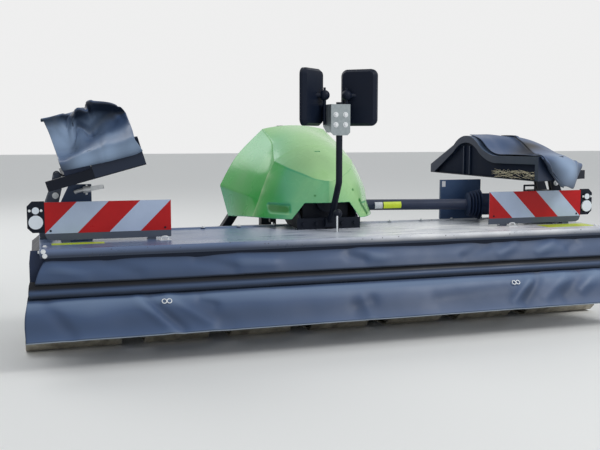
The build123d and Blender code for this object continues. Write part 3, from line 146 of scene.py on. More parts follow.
def skin(name, colour, worn, rough, spread=0.08, mottle_mm=120, grain_mm=2.0, bump_mm=0.05, amount=0.5,
         metallic=0.0, specular=0.5, coat=0.0, stretch=(1, 1, 1), upper=None):
    """A surface with slow colour drift from colour to worn, and a fine grain in roughness and relief. Faces
    that look up can be given a paler colour of their own, as painted light from above."""
    material, tree, shader, coords = new_material(name)
    place = add_node(tree, "ShaderNodeMapping", {"Vector": coords, "Scale": stretch})
    drift = add_node(tree, "ShaderNodeTexNoise", {
        "Vector": place, "Scale": 1 / (mottle_mm * MM), "Detail": 6.0, "Roughness": 0.6})
    grain = add_node(tree, "ShaderNodeTexNoise", {"Vector": place, "Scale": 1 / (grain_mm * MM), "Detail": 3.0})
    coats = [(add_node(tree, "ShaderNodeMapRange", [drift, 0.35, 0.75, 0.0, amount]), worn)]
    # Upward faces get a paler colour: painted light from above
    if upper:
        coats.append((facing(tree, (0, -0.2, 0.98), 0.2, 0.9), upper))
    join_up(tree, shader, coated(tree, colour, *coats), drift, (max(rough - spread, 0.02), min(rough + spread, 1.0)),
            grain, 0.6, bump_mm, {"Metallic": metallic, "Specular IOR Level": specular, "Coat Weight": coat})
    return material


def hood_skin():
    """Polyethylene coloured through, glossy with a slight orange peel. Its side and front greens differ as painted
    reflection, faces that look up are paler with painted sky light, its hollows hold painted shade and its crease a
    painted highlight.
    """
    material, tree, shader, coords = new_material("hood_polyethylene")
    dark, pale = shade_shares(tree)
    drift = add_node(tree, "ShaderNodeTexNoise", {"Vector": coords, "Scale": 6.0, "Detail": 4.0})
    dust = add_node(tree, "ShaderNodeMapRange", [drift, 0.5, 0.8, 0.0, 0.25])
    # Painted reflection on the side, painted sky light on top, the painted highlight and painted shade of the shade
    # attribute, then dust
    colour = coated(
        tree, "#50b884", (facing(tree, (-0.93, -0.05, 0.35), 0.80, 0.96), "#48b452"),
        (facing(tree, (0.30, -0.62, 0.72), 0.30, 0.98), "#a8d696"), (pale, "#c4e6ae"), (dark, "#1f7d2c"),
        (dust, "#8fb58a"))
    # Orange peel of the moulding, a few millimetres across
    peel = add_node(tree, "ShaderNodeTexNoise", {"Vector": coords, "Scale": 1 / (7 * MM), "Detail": 2.0})
    join_up(tree, shader, colour, drift, (0.20, 0.34), peel, 0.2, 0.05, {
        "Specular IOR Level": 0.35, "Coat Weight": 0.08, "Coat Roughness": 0.08})
    return material


def deck_skin():
    """Powder-coated sheet with a painted sky reflection right of the hood, broken by streaks of dust, painted shade
    on its lip, and dark specks of soil.
    """
    material, tree, shader, coords = new_material("deck_powder_coat")
    # Painted sky reflection: a white patch right of the hood, broken by streaks of dust
    place = add_node(tree, "ShaderNodeMapping", {
        "Vector": coords, "Location": (-0.62, 0.5, -0.5), "Scale": (0.9, 1.2, 1.0)})
    patch = add_node(tree, "ShaderNodeVectorMath", [place], operation="LENGTH")
    bright = add_node(tree, "ShaderNodeMapRange", [patch.outputs["Value"], 1.15, 0.30])
    streak = add_node(tree, "ShaderNodeMapping", {"Vector": coords, "Scale": (0.5, 3.0, 1.0)})
    drift = add_node(tree, "ShaderNodeTexNoise", {"Vector": streak, "Scale": 7.0, "Detail": 7.0, "Roughness": 0.65})
    film = add_node(tree, "ShaderNodeMapRange", [drift, 0.35, 0.65, 0.55, 1.0])
    share = add_node(tree, "ShaderNodeMath", [bright, film], operation="MULTIPLY")
    dots = add_node(tree, "ShaderNodeTexVoronoi", {"Vector": coords, "Scale": 1 / (26 * MM), "Randomness": 1.0})
    soil = add_node(tree, "ShaderNodeMapRange", [dots.outputs["Distance"], 0.08, 0.15, 0.7, 0.0])
    top = coated(tree, "#66789a", (share, "#ffffff"))
    # Painted shade on the lip below the top edge, and specks of soil over all
    colour = coated(tree, "#263247", (height(tree, coords, 0.468, 0.492), top), (soil, "#3a3a40"))
    join_up(tree, shader, colour, drift, (0.22, 0.42), drift, 0.3, 0.3)
    return material


def curtain_skin():
    """PVC-coated polyester: a satin, faintly pebbled coat with painted sky light where it faces up, dust, and the
    painted light and painted shade of the mesh's shade attribute.
    """
    material, tree, shader, coords = new_material("curtain_pvc")
    dark, pale = shade_shares(tree)
    drift = add_node(tree, "ShaderNodeTexNoise", {"Vector": coords, "Scale": 5.0, "Detail": 5.0})
    dust = add_node(tree, "ShaderNodeMapRange", [drift, 0.45, 0.8, 0.0, 0.35])
    # Painted sky light on faces that look up, dust, then painted light and painted shade
    colour = coated(
        tree, "#1c2636", (facing(tree, (0.05, -0.35, 0.94), 0.15, 0.95), "#455a7d"), (dust, "#43536c"),
        (pale, "#93a9c6"), (dark, "#0b0f18"))
    # The weave, drawn at three times its real half millimetre so that it shows
    weave = add_node(tree, "ShaderNodeTexNoise", {"Vector": coords, "Scale": 1 / (1.6 * MM), "Detail": 2.0})
    join_up(tree, shader, colour, drift, (0.36, 0.5), weave, 0.4, 0.1, {"Specular IOR Level": 0.3})
    return material


# Columns: colour, worn colour, roughness, and what sets it apart from a plain finish
FINISHES = {
    # Enamel on frame steel: satin black, nearly even
    "frame_enamel": ("#0b1322", "#161d2a", 0.5, dict(mottle_mm=90, bump_mm=0.08, specular=0.22)),
    # Enamel of the boards' rails and of the plates by the drive: grey or slate, even, a soft gloss
    "grey_enamel": ("#4a5364", "#5a606b", 0.4, dict(mottle_mm=110, specular=0.4)),
    "panel_enamel": ("#33496b", "#3a4d69", 0.4, dict(mottle_mm=110, specular=0.4)),
    # Ground steel of the skids: streaked by soil, pale with dried mud
    "scuffed_steel": ("#8d877a", "#d3cdbd", 0.5, dict(
        mottle_mm=45, metallic=0.35, bump_mm=0.25, amount=0.9, stretch=(1, 0.25, 1))),
    # Forged steel of the discs: dull, brown with crop juice
    "disc_steel": ("#55514d", "#3d342c", 0.5, dict(mottle_mm=50, metallic=0.6, bump_mm=0.2)),
    # Moulded ABS: black, finely eroded, so that no highlight is sharp
    "black_abs": ("#0a1426", "#121d2e", 0.5, dict(grain_mm=1.2, bump_mm=0.06, specular=0.2)),
    # Extruded polyethylene: smooth, with a long soft line of light
    "tube_polyethylene": ("#1a2742", "#273350", 0.34, dict(grain_mm=3, specular=0.45)),
    # Moulded rubber: dull, slightly blue with the sky
    "bellows_rubber": ("#1a2844", "#22304a", 0.55, dict(grain_mm=1.5, specular=0.35)),
    # Hot-dip zinc: a cloudy grey spangle
    "zinc_galvanised": ("#a2abae", "#8a9498", 0.42, dict(mottle_mm=14, metallic=0.6, amount=0.9)),
    # Plated zinc of bolts and clips: pale and bright
    "bright_zinc": ("#eef1f3", "#d6dadd", 0.35, dict(mottle_mm=9, metallic=0.25, bump_mm=0.03)),
    # Painted spring wire: dark, rubbed brown in places
    "spring_steel": ("#20242b", "#3a342d", 0.4, dict(mottle_mm=20, metallic=0.3)),
    # Welded edge of the PVC curtain: a pale line along the hem
    "hem_pvc": ("#8b97a5", "#6f7c8c", 0.4, dict(mottle_mm=60, bump_mm=0.08)),
    # Clear acrylic over prisms: a wet gloss on a broken surface
    "reflector_lens": ("#e6eef6", "#cfd9e4", 0.14, dict(grain_mm=3.5, bump_mm=0.5, coat=0.6)),
    # Prismatic retroreflective film on the warning boards: even, a soft gloss; the white is tinted blue with painted
    # sky light
    "white_retroreflective_film": ("#b6c6e0", "#a4b4cf", 0.35, dict(mottle_mm=90, grain_mm=3)),
    "red_retroreflective_film": ("#bd0d14", "#a10a10", 0.35, dict(mottle_mm=90, grain_mm=3, specular=0.3)),
    # Vinyl labels, left blank: flat and clear in colour
    "blank_label_yellow": ("#cfe32e", "#b9cc3a", 0.45, dict(mottle_mm=40)),
    "blank_label_white": ("#c9ccd2", "#b3b7be", 0.5, dict(mottle_mm=30)),
    # Silvered glass: a clean mirror
    "mirror_glass": ("#d9dcde", "#cfd3d6", 0.04, dict(spread=0.01, metallic=1.0, bump_mm=0.0)),
    # Painted shade: a dark matt sheet set in the guards' recesses
    "painted_shade_liner": ("#0d1628", "#131d30", 0.7, dict(grain_mm=5, specular=0.1)),
    # Dried grass: matt, the colour of straw
    "dry_straw": ("#e0d7bb", "#b5a987", 0.6, dict(mottle_mm=30)),
    # Rotomoulded polyethylene of the guards: pebbled, grey, paler with painted light where it looks up
    "guard_polyethylene": ("#16233a", "#1f2d42", 0.5, dict(
        grain_mm=5, bump_mm=0.12, specular=0.4, upper="#44546c")),
}
MATERIALS = {name: skin(name, *colours, **more) for name, (*colours, more) in FINISHES.items()}
MATERIALS["hood_polyethylene"] = hood_skin()
MATERIALS["deck_powder_coat"] = deck_skin()
MATERIALS["curtain_pvc"] = curtain_skin()

NODE_FINISH = {
    "deck": "deck_powder_coat",
    "skid_shoes": "scuffed_steel",
    "bellows": "bellows_rubber",
    "shaft_guard": "tube_polyethylene",
    "drive_panel": "panel_enamel",
    "latch_plate": "panel_enamel",
    "board_left": "grey_enamel",
    "board_right": "grey_enamel",
    "mirror_left": "black_abs",
    "mirror_right": "black_abs",
    "mirror_bracket": "zinc_galvanised",
    "lamp_lenses": "reflector_lens",
    "reflectors": "reflector_lens",
    "guard_shell_left": "guard_polyethylene",
    "guard_shell_right": "guard_polyethylene",
    "pto_stub": "scuffed_steel",
    "hinge_bracket_left": "grey_enamel",
    "relief_springs": "spring_steel",
}


def dress_nodes():
    """Gives each CAD node its finish; those not in the table are enamelled frame parts."""
    for name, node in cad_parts.items():
        plain = "disc_steel" if name.startswith("disc_") else "frame_enamel"
        finish = MATERIALS[NODE_FINISH.get(name, plain)]
        if not node.material_slots:
            node.data.materials.append(finish)
        for slot in node.material_slots:
            slot.material = finish


dress_nodes()


# Sheets of cloth
def spline(points, steps):
    """A smooth line through the points, with steps places on each span."""
    ends = [points[0], *points, points[-1]]
    line = []
    for first in range(len(points) - 1):
        a, b, c, d = (Vector(p) for p in ends[first:first + 4])
        for place in range(steps):
            t = place / steps
            line.append(b + 0.5 * t * (c - a + t * (2 * a - 5 * b + 4 * c - d + t * (3 * (b - c) + d - a))))
    line.append(Vector(points[-1]))
    return line


def evenly(line, count):
    """The line again, as count places that are equally far apart along it."""
    marks = [0.0]
    for before, after in zip(line, line[1:]):
        marks.append(marks[-1] + (after - before).length)
    places, span = [], 0
    for number in range(count):
        mark = marks[-1] * number / (count - 1)
        while span < len(line) - 2 and marks[span + 1] < mark:
            span += 1
        share = (mark - marks[span]) / max(marks[span + 1] - marks[span], 1e-9)
        places.append(line[span].lerp(line[span + 1], min(share, 1.0)))
    return places


def new_piece(name, mesh, material, body, smooth=True):
    """A finished piece that rides on a body."""
    piece = linked(name, mesh)
    mesh.materials.append(MATERIALS[material])
    if smooth:
        mesh.shade_smooth()
    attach(piece, body)
    return piece


def net_mesh(name, rows):
    """A sheet's mesh between rows of places."""
    width = len(rows[0])
    faces = [(r * width + c, r * width + c + 1, (r + 1) * width + c + 1, (r + 1) * width + c)
             for r in range(len(rows) - 1) for c in range(width - 1)]
    mesh = bpy.data.meshes.new(name)
    mesh.from_pydata([tuple(place) for row in rows for place in row], [], faces)
    return mesh


def shaded(mesh, shades):
    """Writes the painted shade of each place of a mesh for its material, positive where dark and negative where
    painted light.
    """
    mesh.attributes.new("shade", "FLOAT", "POINT").data.foreach_set("value", shades)


def crease_depth(x, z, creases):
    """How far the cloth stands proud at a place, from a table of creases. Columns: x and z of the crease's two
    ends, its half width and its depth, all in millimetres, proud where the depth is positive."""
    depth = 0.0
    for x1, z1, x2, z2, wide, deep in creases:
        run = Vector((x2 - x1, z2 - z1))
        spot = Vector((x / MM - x1, z / MM - z1))
        share = max(0.0, min(1.0, spot.dot(run) / max(run.length_squared, 1)))
        depth += deep * math.exp(-((spot - run * share).length / wide) ** 2)
    return depth * MM


def settle(piece, pinned, cap_mm, frames):
    """Lets the cloth hang for a few frames from its pinned places, each place moving no further than the cap."""
    start = [vertex.co.copy() for vertex in piece.data.vertices]
    group = piece.vertex_groups.new(name="pinned")
    group.add([i for i, place in enumerate(start) if pinned(place)], 1.0, "REPLACE")
    cloth = piece.modifiers.new("hanging", "CLOTH")
    cloth.settings.quality = 6
    cloth.settings.mass = 0.06
    cloth.settings.tension_stiffness = 30
    cloth.settings.compression_stiffness = 30
    cloth.settings.bending_stiffness = 2.0
    cloth.settings.vertex_group_mass = "pinned"
    cloth.collision_settings.use_collision = False
    cloth.point_cache.frame_start = 1
    cloth.point_cache.frame_end = frames
    for frame_number in range(1, frames + 1):
        bpy.context.scene.frame_set(frame_number)
    shown = piece.evaluated_get(bpy.context.evaluated_depsgraph_get()).data
    moved = [vertex.co.copy() for vertex in shown.vertices]
    piece.modifiers.remove(cloth)
    piece.vertex_groups.clear()
    for vertex, before, after in zip(piece.data.vertices, start, moved):
        move = after - before
        if move.length > cap_mm * MM:
            move *= cap_mm * MM / move.length
        vertex.co = before + move
    bpy.context.scene.frame_set(1)


def thicken(piece, thick_mm, offset=0.0):
    """Gives a sheet its thickness."""
    wall = piece.modifiers.new("thickness", "SOLIDIFY")
    wall.thickness = thick_mm * MM
    wall.offset = offset


# Front curtain. Columns of the profiles: y, height, half width, and the cloth's painted shade there, painted light
# where negative
FLAP_LINE = (
    (-518, 462, 1408, 0.95), (-521, 450, 1412, 0.9), (-533, 438, 1420, 0.25), (-552, 410, 1436, 0.0),
    (-566, 382, 1447, 0.1), (-579, 356, 1455, 0.4))
RIB_LINE = (
    (-556, 366, 1474, 1.0), (-564, 352, 1478, 1.0), (-569, 336, 1480, 0.95), (-581, 323, 1481, 0.15),
    (-584, 306, 1481, 0.1), (-578, 294, 1480, 0.8))
SKIRT_LINE = (
    (-566, 308, 1482, 1.0), (-575, 292, 1486, 0.7), (-588, 280, 1488, -0.35), (-606, 262, 1492, -0.25),
    (-626, 232, 1497, 0.0), (-648, 194, 1499, 0.2), (-669, 160, 1497, 0.1), (-688, 134, 1496, -0.1))
FLAP_CREASES = (
    (-1380, 430, -1250, 372, 30, 5), (-1150, 440, -1020, 380, 28, -5), (-760, 440, -600, 385, 26, -7),
    (-560, 430, -420, 400, 40, 5), (-40, 415, 30, 395, 26, -6), (20, 440, 120, 400, 40, 5),
    (560, 380, 700, 440, 28, -7), (760, 385, 860, 440, 26, 6), (980, 385, 1080, 440, 26, 6),
    (1160, 400, 1220, 430, 20, -4))
SKIRT_CREASES = (
    (-1410, 275, -1310, 150, 26, -8), (-1230, 210, -1170, 190, 60, 5), (-1035, 276, -890, 140, 22, 8),
    (-985, 272, -845, 150, 18, -8), (-900, 280, -720, 160, 24, 9),
    (-760, 262, -700, 236, 22, -8), (-830, 250, -640, 150, 40, -5), (-40, 190, 40, 210, 34, -7),
    (0, 215, 20, 150, 26, 5), (380, 200, 760, 225, 34, -5), (780, 165, 900, 255, 22, 8),
    (850, 160, 960, 270, 24, -8), (960, 170, 1100, 262, 28, 6), (1080, 180, 1200, 270, 30, -6),
    (1180, 200, 1300, 275, 26, 6))
CLOTH_MM = 2.4
CURTAIN_COLUMNS = 320
# Waves to the metre along and down the cloth, and the painted light that a metre of relief gives: paler proud, darker
# hollow
WAVES = (4.2, 5.0)
PAINTED_LIGHT_PER_M = 22


def hang_strip(name, line, creases, drift_mm, along):
    """One band of the front curtain from its profile, with its creases and a slow waviness."""
    profile = evenly(spline([Vector(row) * MM for row in line], 6), along)
    rows, shades = [], []
    for number, place in enumerate(profile):
        before, after = profile[max(number - 1, 0)], profile[min(number + 1, along - 1)]
        slope = Vector((0, after[0] - before[0], after[1] - before[1])).normalized()
        normal = Vector((0, slope.z, -slope.y))
        free = math.sin(math.pi * min(number / (along - 1), 0.85)) ** 0.5
        row = []
        for column in range(CURTAIN_COLUMNS):
            x = (2 * column / (CURTAIN_COLUMNS - 1) - 1) * place[2]
            sway = noise.noise(Vector((x * WAVES[0], place[1] * WAVES[1], drift_mm))) * drift_mm * MM
            proud = crease_depth(x, place[1], creases) + sway
            row.append(Vector((x, place[0], place[1])) + normal * proud * free)
            # Painted shade from the profile, with painted light on proud folds and painted shade in hollows
            shades.append(place[3] / MM - PAINTED_LIGHT_PER_M * proud * free)
        rows.append(row)
    mesh = net_mesh(name, rows)
    shaded(mesh, [min(max(shade, -1), 1) for shade in shades])
    return mesh


def swept(name, points, radius_mm, material, closed=False):
    """A round bar or bead that follows points in metres."""
    path = bpy.data.curves.new(name, "CURVE")
    path.dimensions = "3D"
    path.bevel_depth = radius_mm * MM
    path.bevel_resolution = 3
    path.use_fill_caps = True
    line = path.splines.new("POLY")
    line.points.add(len(points) - 1)
    for point, place in zip(line.points, points):
        point.co = (*place, 1.0)
    line.use_cyclic_u = closed
    holder = linked(name, path)
    mesh = bpy.data.meshes.new_from_object(holder.evaluated_get(bpy.context.evaluated_depsgraph_get()))
    bpy.data.objects.remove(holder)
    new_piece(name, mesh, material, "base")


def build_front_curtain():
    for node, line, creases, drift, along, flat in (
            ("curtain_upper", FLAP_LINE, FLAP_CREASES, 5.0, 14, (2.94, 0.123)),
            ("curtain_rib", RIB_LINE, (), 0.8, 14, (2.97, 0.084)),
            ("curtain_lower", SKIRT_LINE, SKIRT_CREASES, 5.0, 24, (2.97, 0.217))):
        mesh = hang_strip("cloth_" + node, line, creases, drift, along)
        if node == "curtain_lower":
            edge = [vertex.co.copy() for vertex in mesh.vertices][-CURTAIN_COLUMNS:]
            swept("skirt_hem", [place + Vector((0, 0.0005, 0)) for place in edge], 2.2, "hem_pvc")
        piece = new_piece("cloth_" + node, mesh, "curtain_pvc", "base")
        thicken(piece, CLOTH_MM, 1.0)
        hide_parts(node)


build_front_curtain()


# Curtains thrown over the guards, in metres, each row from the back of the guard to the free hem. The left
# one is drawn as a right-hand piece on a guard that lies flat
RIGHT_CLOTH = (
    ((1.00, .20, .982), (1.00, .08, .957), (.995, -.03, .899), (.995, -.12, .876), (.99, -.25, .876),
     (.985, -.40, .877), (.985, -.535, .874), (.986, -.556, .866), (.988, -.562, .858)),
    ((1.06, .20, .982), (1.05, .08, .958), (1.04, -.03, .898), (1.03, -.12, .874), (1.02, -.25, .873),
     (1.005, -.40, .873), (.995, -.53, .873), (1.000, -.557, .862), (1.003, -.562, .850)),
    ((1.13, .19, .982), (1.115, .08, .957), (1.10, -.04, .900), (1.075, -.14, .874), (1.05, -.27, .871),
     (1.025, -.41, .871), (1.005, -.53, .871), (1.012, -.555, .856), (1.018, -.557, .840)),
    ((1.19, .06, .968), (1.185, -.03, .946), (1.165, -.12, .921), (1.130, -.24, .896), (1.085, -.37, .880),
     (1.030, -.50, .872), (1.040, -.548, .838), (1.090, -.520, .780), (1.176, -.480, .722)),
    ((1.19, .02, .975), (1.180, -.045, .960), (1.150, -.15, .938), (1.105, -.27, .910), (1.060, -.38, .890),
     (.995, -.545, .874), (1.022, -.541, .829), (1.077, -.515, .784), (1.165, -.475, .716)),
    ((1.19, .02, .977), (1.200, -.05, .963), (1.190, -.16, .940), (1.170, -.28, .912), (1.145, -.38, .893),
     (1.095, -.505, .872), (1.110, -.512, .825), (1.140, -.497, .780), (1.196, -.468, .718)),
    ((1.19, .02, .977), (1.215, -.06, .961), (1.228, -.16, .937), (1.228, -.28, .900), (1.218, -.37, .882),
     (1.195, -.455, .863), (1.205, -.472, .820), (1.212, -.468, .775), (1.228, -.450, .712)),
    ((1.19, .02, .976), (1.225, -.08, .956), (1.246, -.185, .925), (1.262, -.29, .886), (1.267, -.36, .872),
     (1.266, -.420, .853), (1.285, -.424, .820), (1.294, -.420, .775), (1.272, -.428, .703)),
    ((1.19, .06, .978), (1.222, -.09, .942), (1.244, -.185, .906), (1.298, -.26, .874), (1.315, -.33, .853),
     (1.318, -.388, .846), (1.318, -.396, .822), (1.318, -.396, .790), (1.306, -.402, .735)),
    ((1.19, .12, .979), (1.210, -.09, .915), (1.242, -.190, .868), (1.330, -.240, .845), (1.372, -.29, .836),
     (1.388, -.330, .832), (1.386, -.345, .822), (1.372, -.358, .806), (1.346, -.370, .780)),
    ((1.19, .17, .978), (1.200, -.03, .890), (1.238, -.192, .835), (1.345, -.240, .815), (1.384, -.28, .812),
     (1.394, -.315, .812), (1.392, -.325, .806), (1.382, -.335, .800), (1.366, -.345, .795)))
LEFT_CLOTH = (
    ((.960, .10, .948), (.952, -.10, .965), (.972, -.24, 1.015), (.955, -.215, .985), (.956, -.250, .968),
     (.966, -.34, .940), (.976, -.45, .903), (.988, -.552, .872), (.984, -.563, .850), (.973, -.562, .812)),
    ((.985, .09, 1.030), (.985, -.10, 1.020), (1.000, -.24, 1.034), (.985, -.205, .996), (.988, -.225, .962),
     (.992, -.32, .934), (.998, -.44, .903), (1.004, -.540, .874), (1.006, -.550, .850), (1.003, -.548, .805)),
    ((1.026, .09, 1.060), (1.026, -.10, 1.048), (1.030, -.245, 1.049), (1.022, -.205, 1.005), (1.024, -.205, .955),
     (1.030, -.30, .928), (1.036, -.42, .905), (1.042, -.522, .875), (1.046, -.533, .850), (1.049, -.528, .806)),
    ((1.075, .09, 1.066), (1.080, -.10, 1.062), (1.078, -.250, 1.068), (1.080, -.195, 1.010), (1.090, -.185, .944),
     (1.085, -.29, .924), (1.084, -.41, .902), (1.090, -.498, .874), (1.094, -.509, .850), (1.099, -.505, .807)),
    ((1.095, .09, 1.066), (1.095, -.10, 1.064), (1.093, -.248, 1.076), (1.100, -.195, 1.000), (1.115, -.180, .937),
     (1.108, -.28, .922), (1.108, -.40, .902), (1.113, -.488, .874), (1.116, -.499, .850), (1.120, -.495, .808)),
    ((1.108, .09, 1.064), (1.110, -.10, 1.060), (1.112, -.222, 1.072), (1.114, -.195, .998), (1.130, -.178, .934),
     (1.124, -.28, .921), (1.124, -.39, .902), (1.128, -.482, .873), (1.130, -.492, .850), (1.133, -.488, .809)),
    ((1.120, .09, 1.062), (1.122, -.10, 1.050), (1.124, -.240, 1.038), (1.132, -.195, .990), (1.142, -.180, .936),
     (1.140, -.28, .922), (1.140, -.39, .902), (1.143, -.476, .873), (1.145, -.486, .850), (1.147, -.482, .809)),
    ((1.170, .09, 1.060), (1.170, -.10, 1.056), (1.171, -.248, 1.054), (1.185, -.205, 1.012), (1.190, -.180, .972),
     (1.178, -.27, .935), (1.170, -.36, .905), (1.168, -.462, .872), (1.166, -.473, .850), (1.160, -.475, .811)),
    ((1.234, -.174, 1.050), (1.236, -.20, 1.052), (1.238, -.246, 1.053), (1.239, -.222, 1.020), (1.238, -.226, .965),
     (1.234, -.240, .908), (1.230, -.254, .885), (1.227, -.34, .884), (1.224, -.438, .869), (1.216, -.446, .815)),
    ((1.290, -.186, 1.048), (1.290, -.205, 1.052), (1.285, -.245, 1.055), (1.283, -.228, 1.030), (1.281, -.222, .975),
     (1.281, -.236, .915), (1.280, -.254, .881), (1.279, -.33, .872), (1.276, -.405, .856), (1.270, -.420, .818)),
    ((1.330, -.188, 1.052), (1.328, -.21, 1.058), (1.323, -.250, 1.058), (1.318, -.230, 1.040), (1.314, -.222, .985),
     (1.314, -.236, .920), (1.315, -.254, .882), (1.317, -.31, .874), (1.318, -.380, .860), (1.317, -.396, .822)))
# Where the thrown sheets get painted light and painted shade. Columns: middle x, y and z, half sizes, and painted
# shade if positive, painted light if negative
RIGHT_PAINTED_LIGHT_AND_SHADE = (
    (1210, -430, 800, 120, 70, 80, -1.0), (1150, -500, 860, 90, 60, 50, -0.5), (1080, -225, 900, 60, 110, 50, 0.9),
    (1150, -200, 925, 50, 110, 40, 0.9))
LEFT_PAINTED_LIGHT_AND_SHADE = (
    (1010, -240, 1060, 60, 60, 30, 0.8), (1180, -230, 1050, 90, 50, 30, 0.45), (1265, -250, 945, 90, 100, 90, -1.0),
    (1060, -400, 900, 80, 90, 60, -0.6), (1110, -220, 960, 60, 60, 60, -0.6),
    (1000, -555, 838, 70, 50, 45, -0.8), (1100, -500, 838, 70, 50, 45, -0.9), (1210, -440, 838, 80, 60, 45, -1.0))
LEFT_CREASES = (
    (1035, 1000, 1230, 880, 20, -9), (1010, 970, 1110, 880, 18, 6), (985, 980, 1060, 925, 14, -6),
    (1010, 850, 990, 900, 20, 6), (1230, 970, 1225, 860, 34, 6))
THROWN_ROWS = 60


def throw_cloth(side, columns, creases, painted_light_and_shade, pinned, place):
    """A guard's curtain, smooth through its columns, then settled, put in place and thickened."""
    lines = [evenly(spline(column, 6), THROWN_ROWS) for column in columns]
    mesh = net_mesh("thrown_guard_cloth_" + side, [spline(row, 6) for row in zip(*lines)])
    normals = [vertex.normal.copy() for vertex in mesh.vertices]
    for vertex, normal in zip(mesh.vertices, normals):
        out = -1 if normal.y > 0 else 1
        vertex.co += normal * out * crease_depth(vertex.co.x, vertex.co.z, creases)
    piece = new_piece("thrown_guard_cloth_" + side, mesh, "curtain_pvc", "guard_" + side)
    settle(piece, pinned, cap_mm=6, frames=8)
    # Painted light and painted shade from the table
    shades = []
    for vertex in mesh.vertices:
        spot = vertex.co / MM
        shades.append(sum(tone * math.exp(-sum(((spot[i] - row[i]) / row[i + 3]) ** 2 for i in range(3)))
                          for *row, tone in painted_light_and_shade))
    shaded(mesh, shades)
    mesh.transform(place)
    thicken(piece, CLOTH_MM)
    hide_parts("guard_cloth_" + side)


HINGE = Vector((1.340, 0, 0.790))
FLAT = Matrix.Identity(4)
LEFT_LEAN = -17
FOLDED_LEFT = (Matrix.Translation((-HINGE.x, 0, HINGE.z)) @ Matrix.Rotation(math.radians(LEFT_LEAN), 4, "Y")
               @ Matrix.Translation((HINGE.x, 0, -HINGE.z)) @ Matrix.Scale(-1, 4, (1, 0, 0)))
# The right sheet is held at its inner edge and behind, the left one along its top
throw_cloth("right", RIGHT_CLOTH, (), RIGHT_PAINTED_LIGHT_AND_SHADE, lambda p: p.x < 1.02 or p.y > 0.0, FLAT)
throw_cloth("left", LEFT_CLOTH, LEFT_CREASES, LEFT_PAINTED_LIGHT_AND_SHADE, lambda p: p.z > 1.02 and p.y < -0.2,
            FOLDED_LEFT)


def extruded(name, outline, axis, low, high):
    """A flat outline across an axis, drawn between two places along it, in millimetres."""
    turned = {"x": lambda u, v, w: (w, u, v), "y": lambda u, v, w: (u, w, v), "z": lambda u, v, w: (u, v, w)}[axis]
    shape = bmesh.new()
    near, far = [[shape.verts.new(Vector(turned(u, v, w)) * MM) for u, v in outline] for w in (low, high)]
    shape.faces.new(near)
    shape.faces.new(far[::-1])
    for number, corner in enumerate(near):
        after = (number + 1) % len(near)
        shape.faces.new((corner, far[number], far[after], near[after]))
    bmesh.ops.recalc_face_normals(shape, faces=shape.faces)
    mesh = bpy.data.meshes.new(name)
    shape.to_mesh(mesh)
    shape.free()
    return mesh


def plate(name, outline, axis, low, high, material, body="base", place=FLAT):
    """An extruded outline as a finished piece, put in its place."""
    mesh = extruded(name, outline, axis, low, high)
    mesh.transform(place)
    if place.determinant() < 0:
        mesh.flip_normals()
    new_piece(name, mesh, material, body, smooth=False)


def arc(u, v, radius, start, end, step):
    """Places on a round corner, from one angle to another in degrees."""
    return [(u + radius * math.cos(math.radians(turn)), v + radius * math.sin(math.radians(turn)))
            for turn in range(start, end + 1, step)]


def rounded(u0, v0, u1, v1, radius):
    """The outline of a plate with round corners."""
    return (arc(u1 - radius, v1 - radius, radius, 0, 90, 15) + arc(u0 + radius, v1 - radius, radius, 90, 180, 15)
            + arc(u0 + radius, v0 + radius, radius, 180, 270, 15)
            + arc(u1 - radius, v0 + radius, radius, 270, 360, 15))


def made_plain(piece):
    """Turns a piece with its modifiers into a plain mesh."""
    shown = piece.evaluated_get(bpy.context.evaluated_depsgraph_get())
    mesh = bpy.data.meshes.new_from_object(shown)
    piece.modifiers.clear()
    piece.data = mesh


# Hood. Half sections, nose to back, in millimetres. Columns: y, then (half width, height) of the foot, the
# widest place, the flank and the edge of the raised panel, that edge's step, and the height of the crown
HOOD_MIDDLE = -12
HOOD_WALL_MM = 4.5
NOSE_SECTIONS = (
    (-182, (0, 552), (0, 636), (0, 698), (0, 743), 4, 749),
    (-176, (58, 552), (46, 636), (32, 697), (16, 744), 4, 750),
    (-164, (118, 552), (94, 636), (66, 698), (38, 748), 5, 757),
    (-146, (176, 552), (142, 637), (108, 700), (72, 756), 5, 775),
    (-112, (232, 552), (195, 640), (156, 709), (112, 774), 6, 811),
    (-30, (287, 551), (252, 640), (219, 730), (180, 806), 6, 871),
    (70, (337, 549), (300, 642), (262, 746), (222, 836), 6, 928))
BACK_SECTIONS = (
    NOSE_SECTIONS[-1],
    (160, (352, 543), (338, 655), (285, 775), (203, 883), 3, 967),
    (280, (372, 534), (382, 675), (306, 822), (176, 943), 1, 1005),
    (440, (388, 522), (434, 697), (338, 860), (185, 1013), 1, 1036))
# The way for the drive under the nose, and the oval hole in the crown
HOOD_ARCH = ((-196, 540), (-131, 623), (-127, 630), (-119, 635), (119, 635), (127, 630), (131, 623), (196, 540))
HOOD_SLOT = arc(12, 8, 4, -90, 90, 30) + arc(-12, 8, 4, 90, 270, 30)
# Hollows in the nose: middle x and z, half sizes, depth at the foot and at the top
HOOD_POCKETS = ((-246, 602, 42, 25, 2, 9), (222, 600, 38, 25, 2, 5))
# The crease from shoulder to foot on the left of the nose, and the hollows as painted by shadow
HOOD_CREASES = ((-257, 851, -281, 773, 18, 3), (-281, 773, -315, 690, 20, 3), (-315, 690, -361, 556, 22, 3))
HOOD_PAINTED_SHADE = ((-272, 603, -222, 603, 19, 1.0), (-272, 595, -222, 595, 17, 0.5), (184, 640, 236, 567, 13, 1.0),
             (-83, 672, -82, 672, 7, 1.0), (141, 696, 142, 696, 9, 1.0))
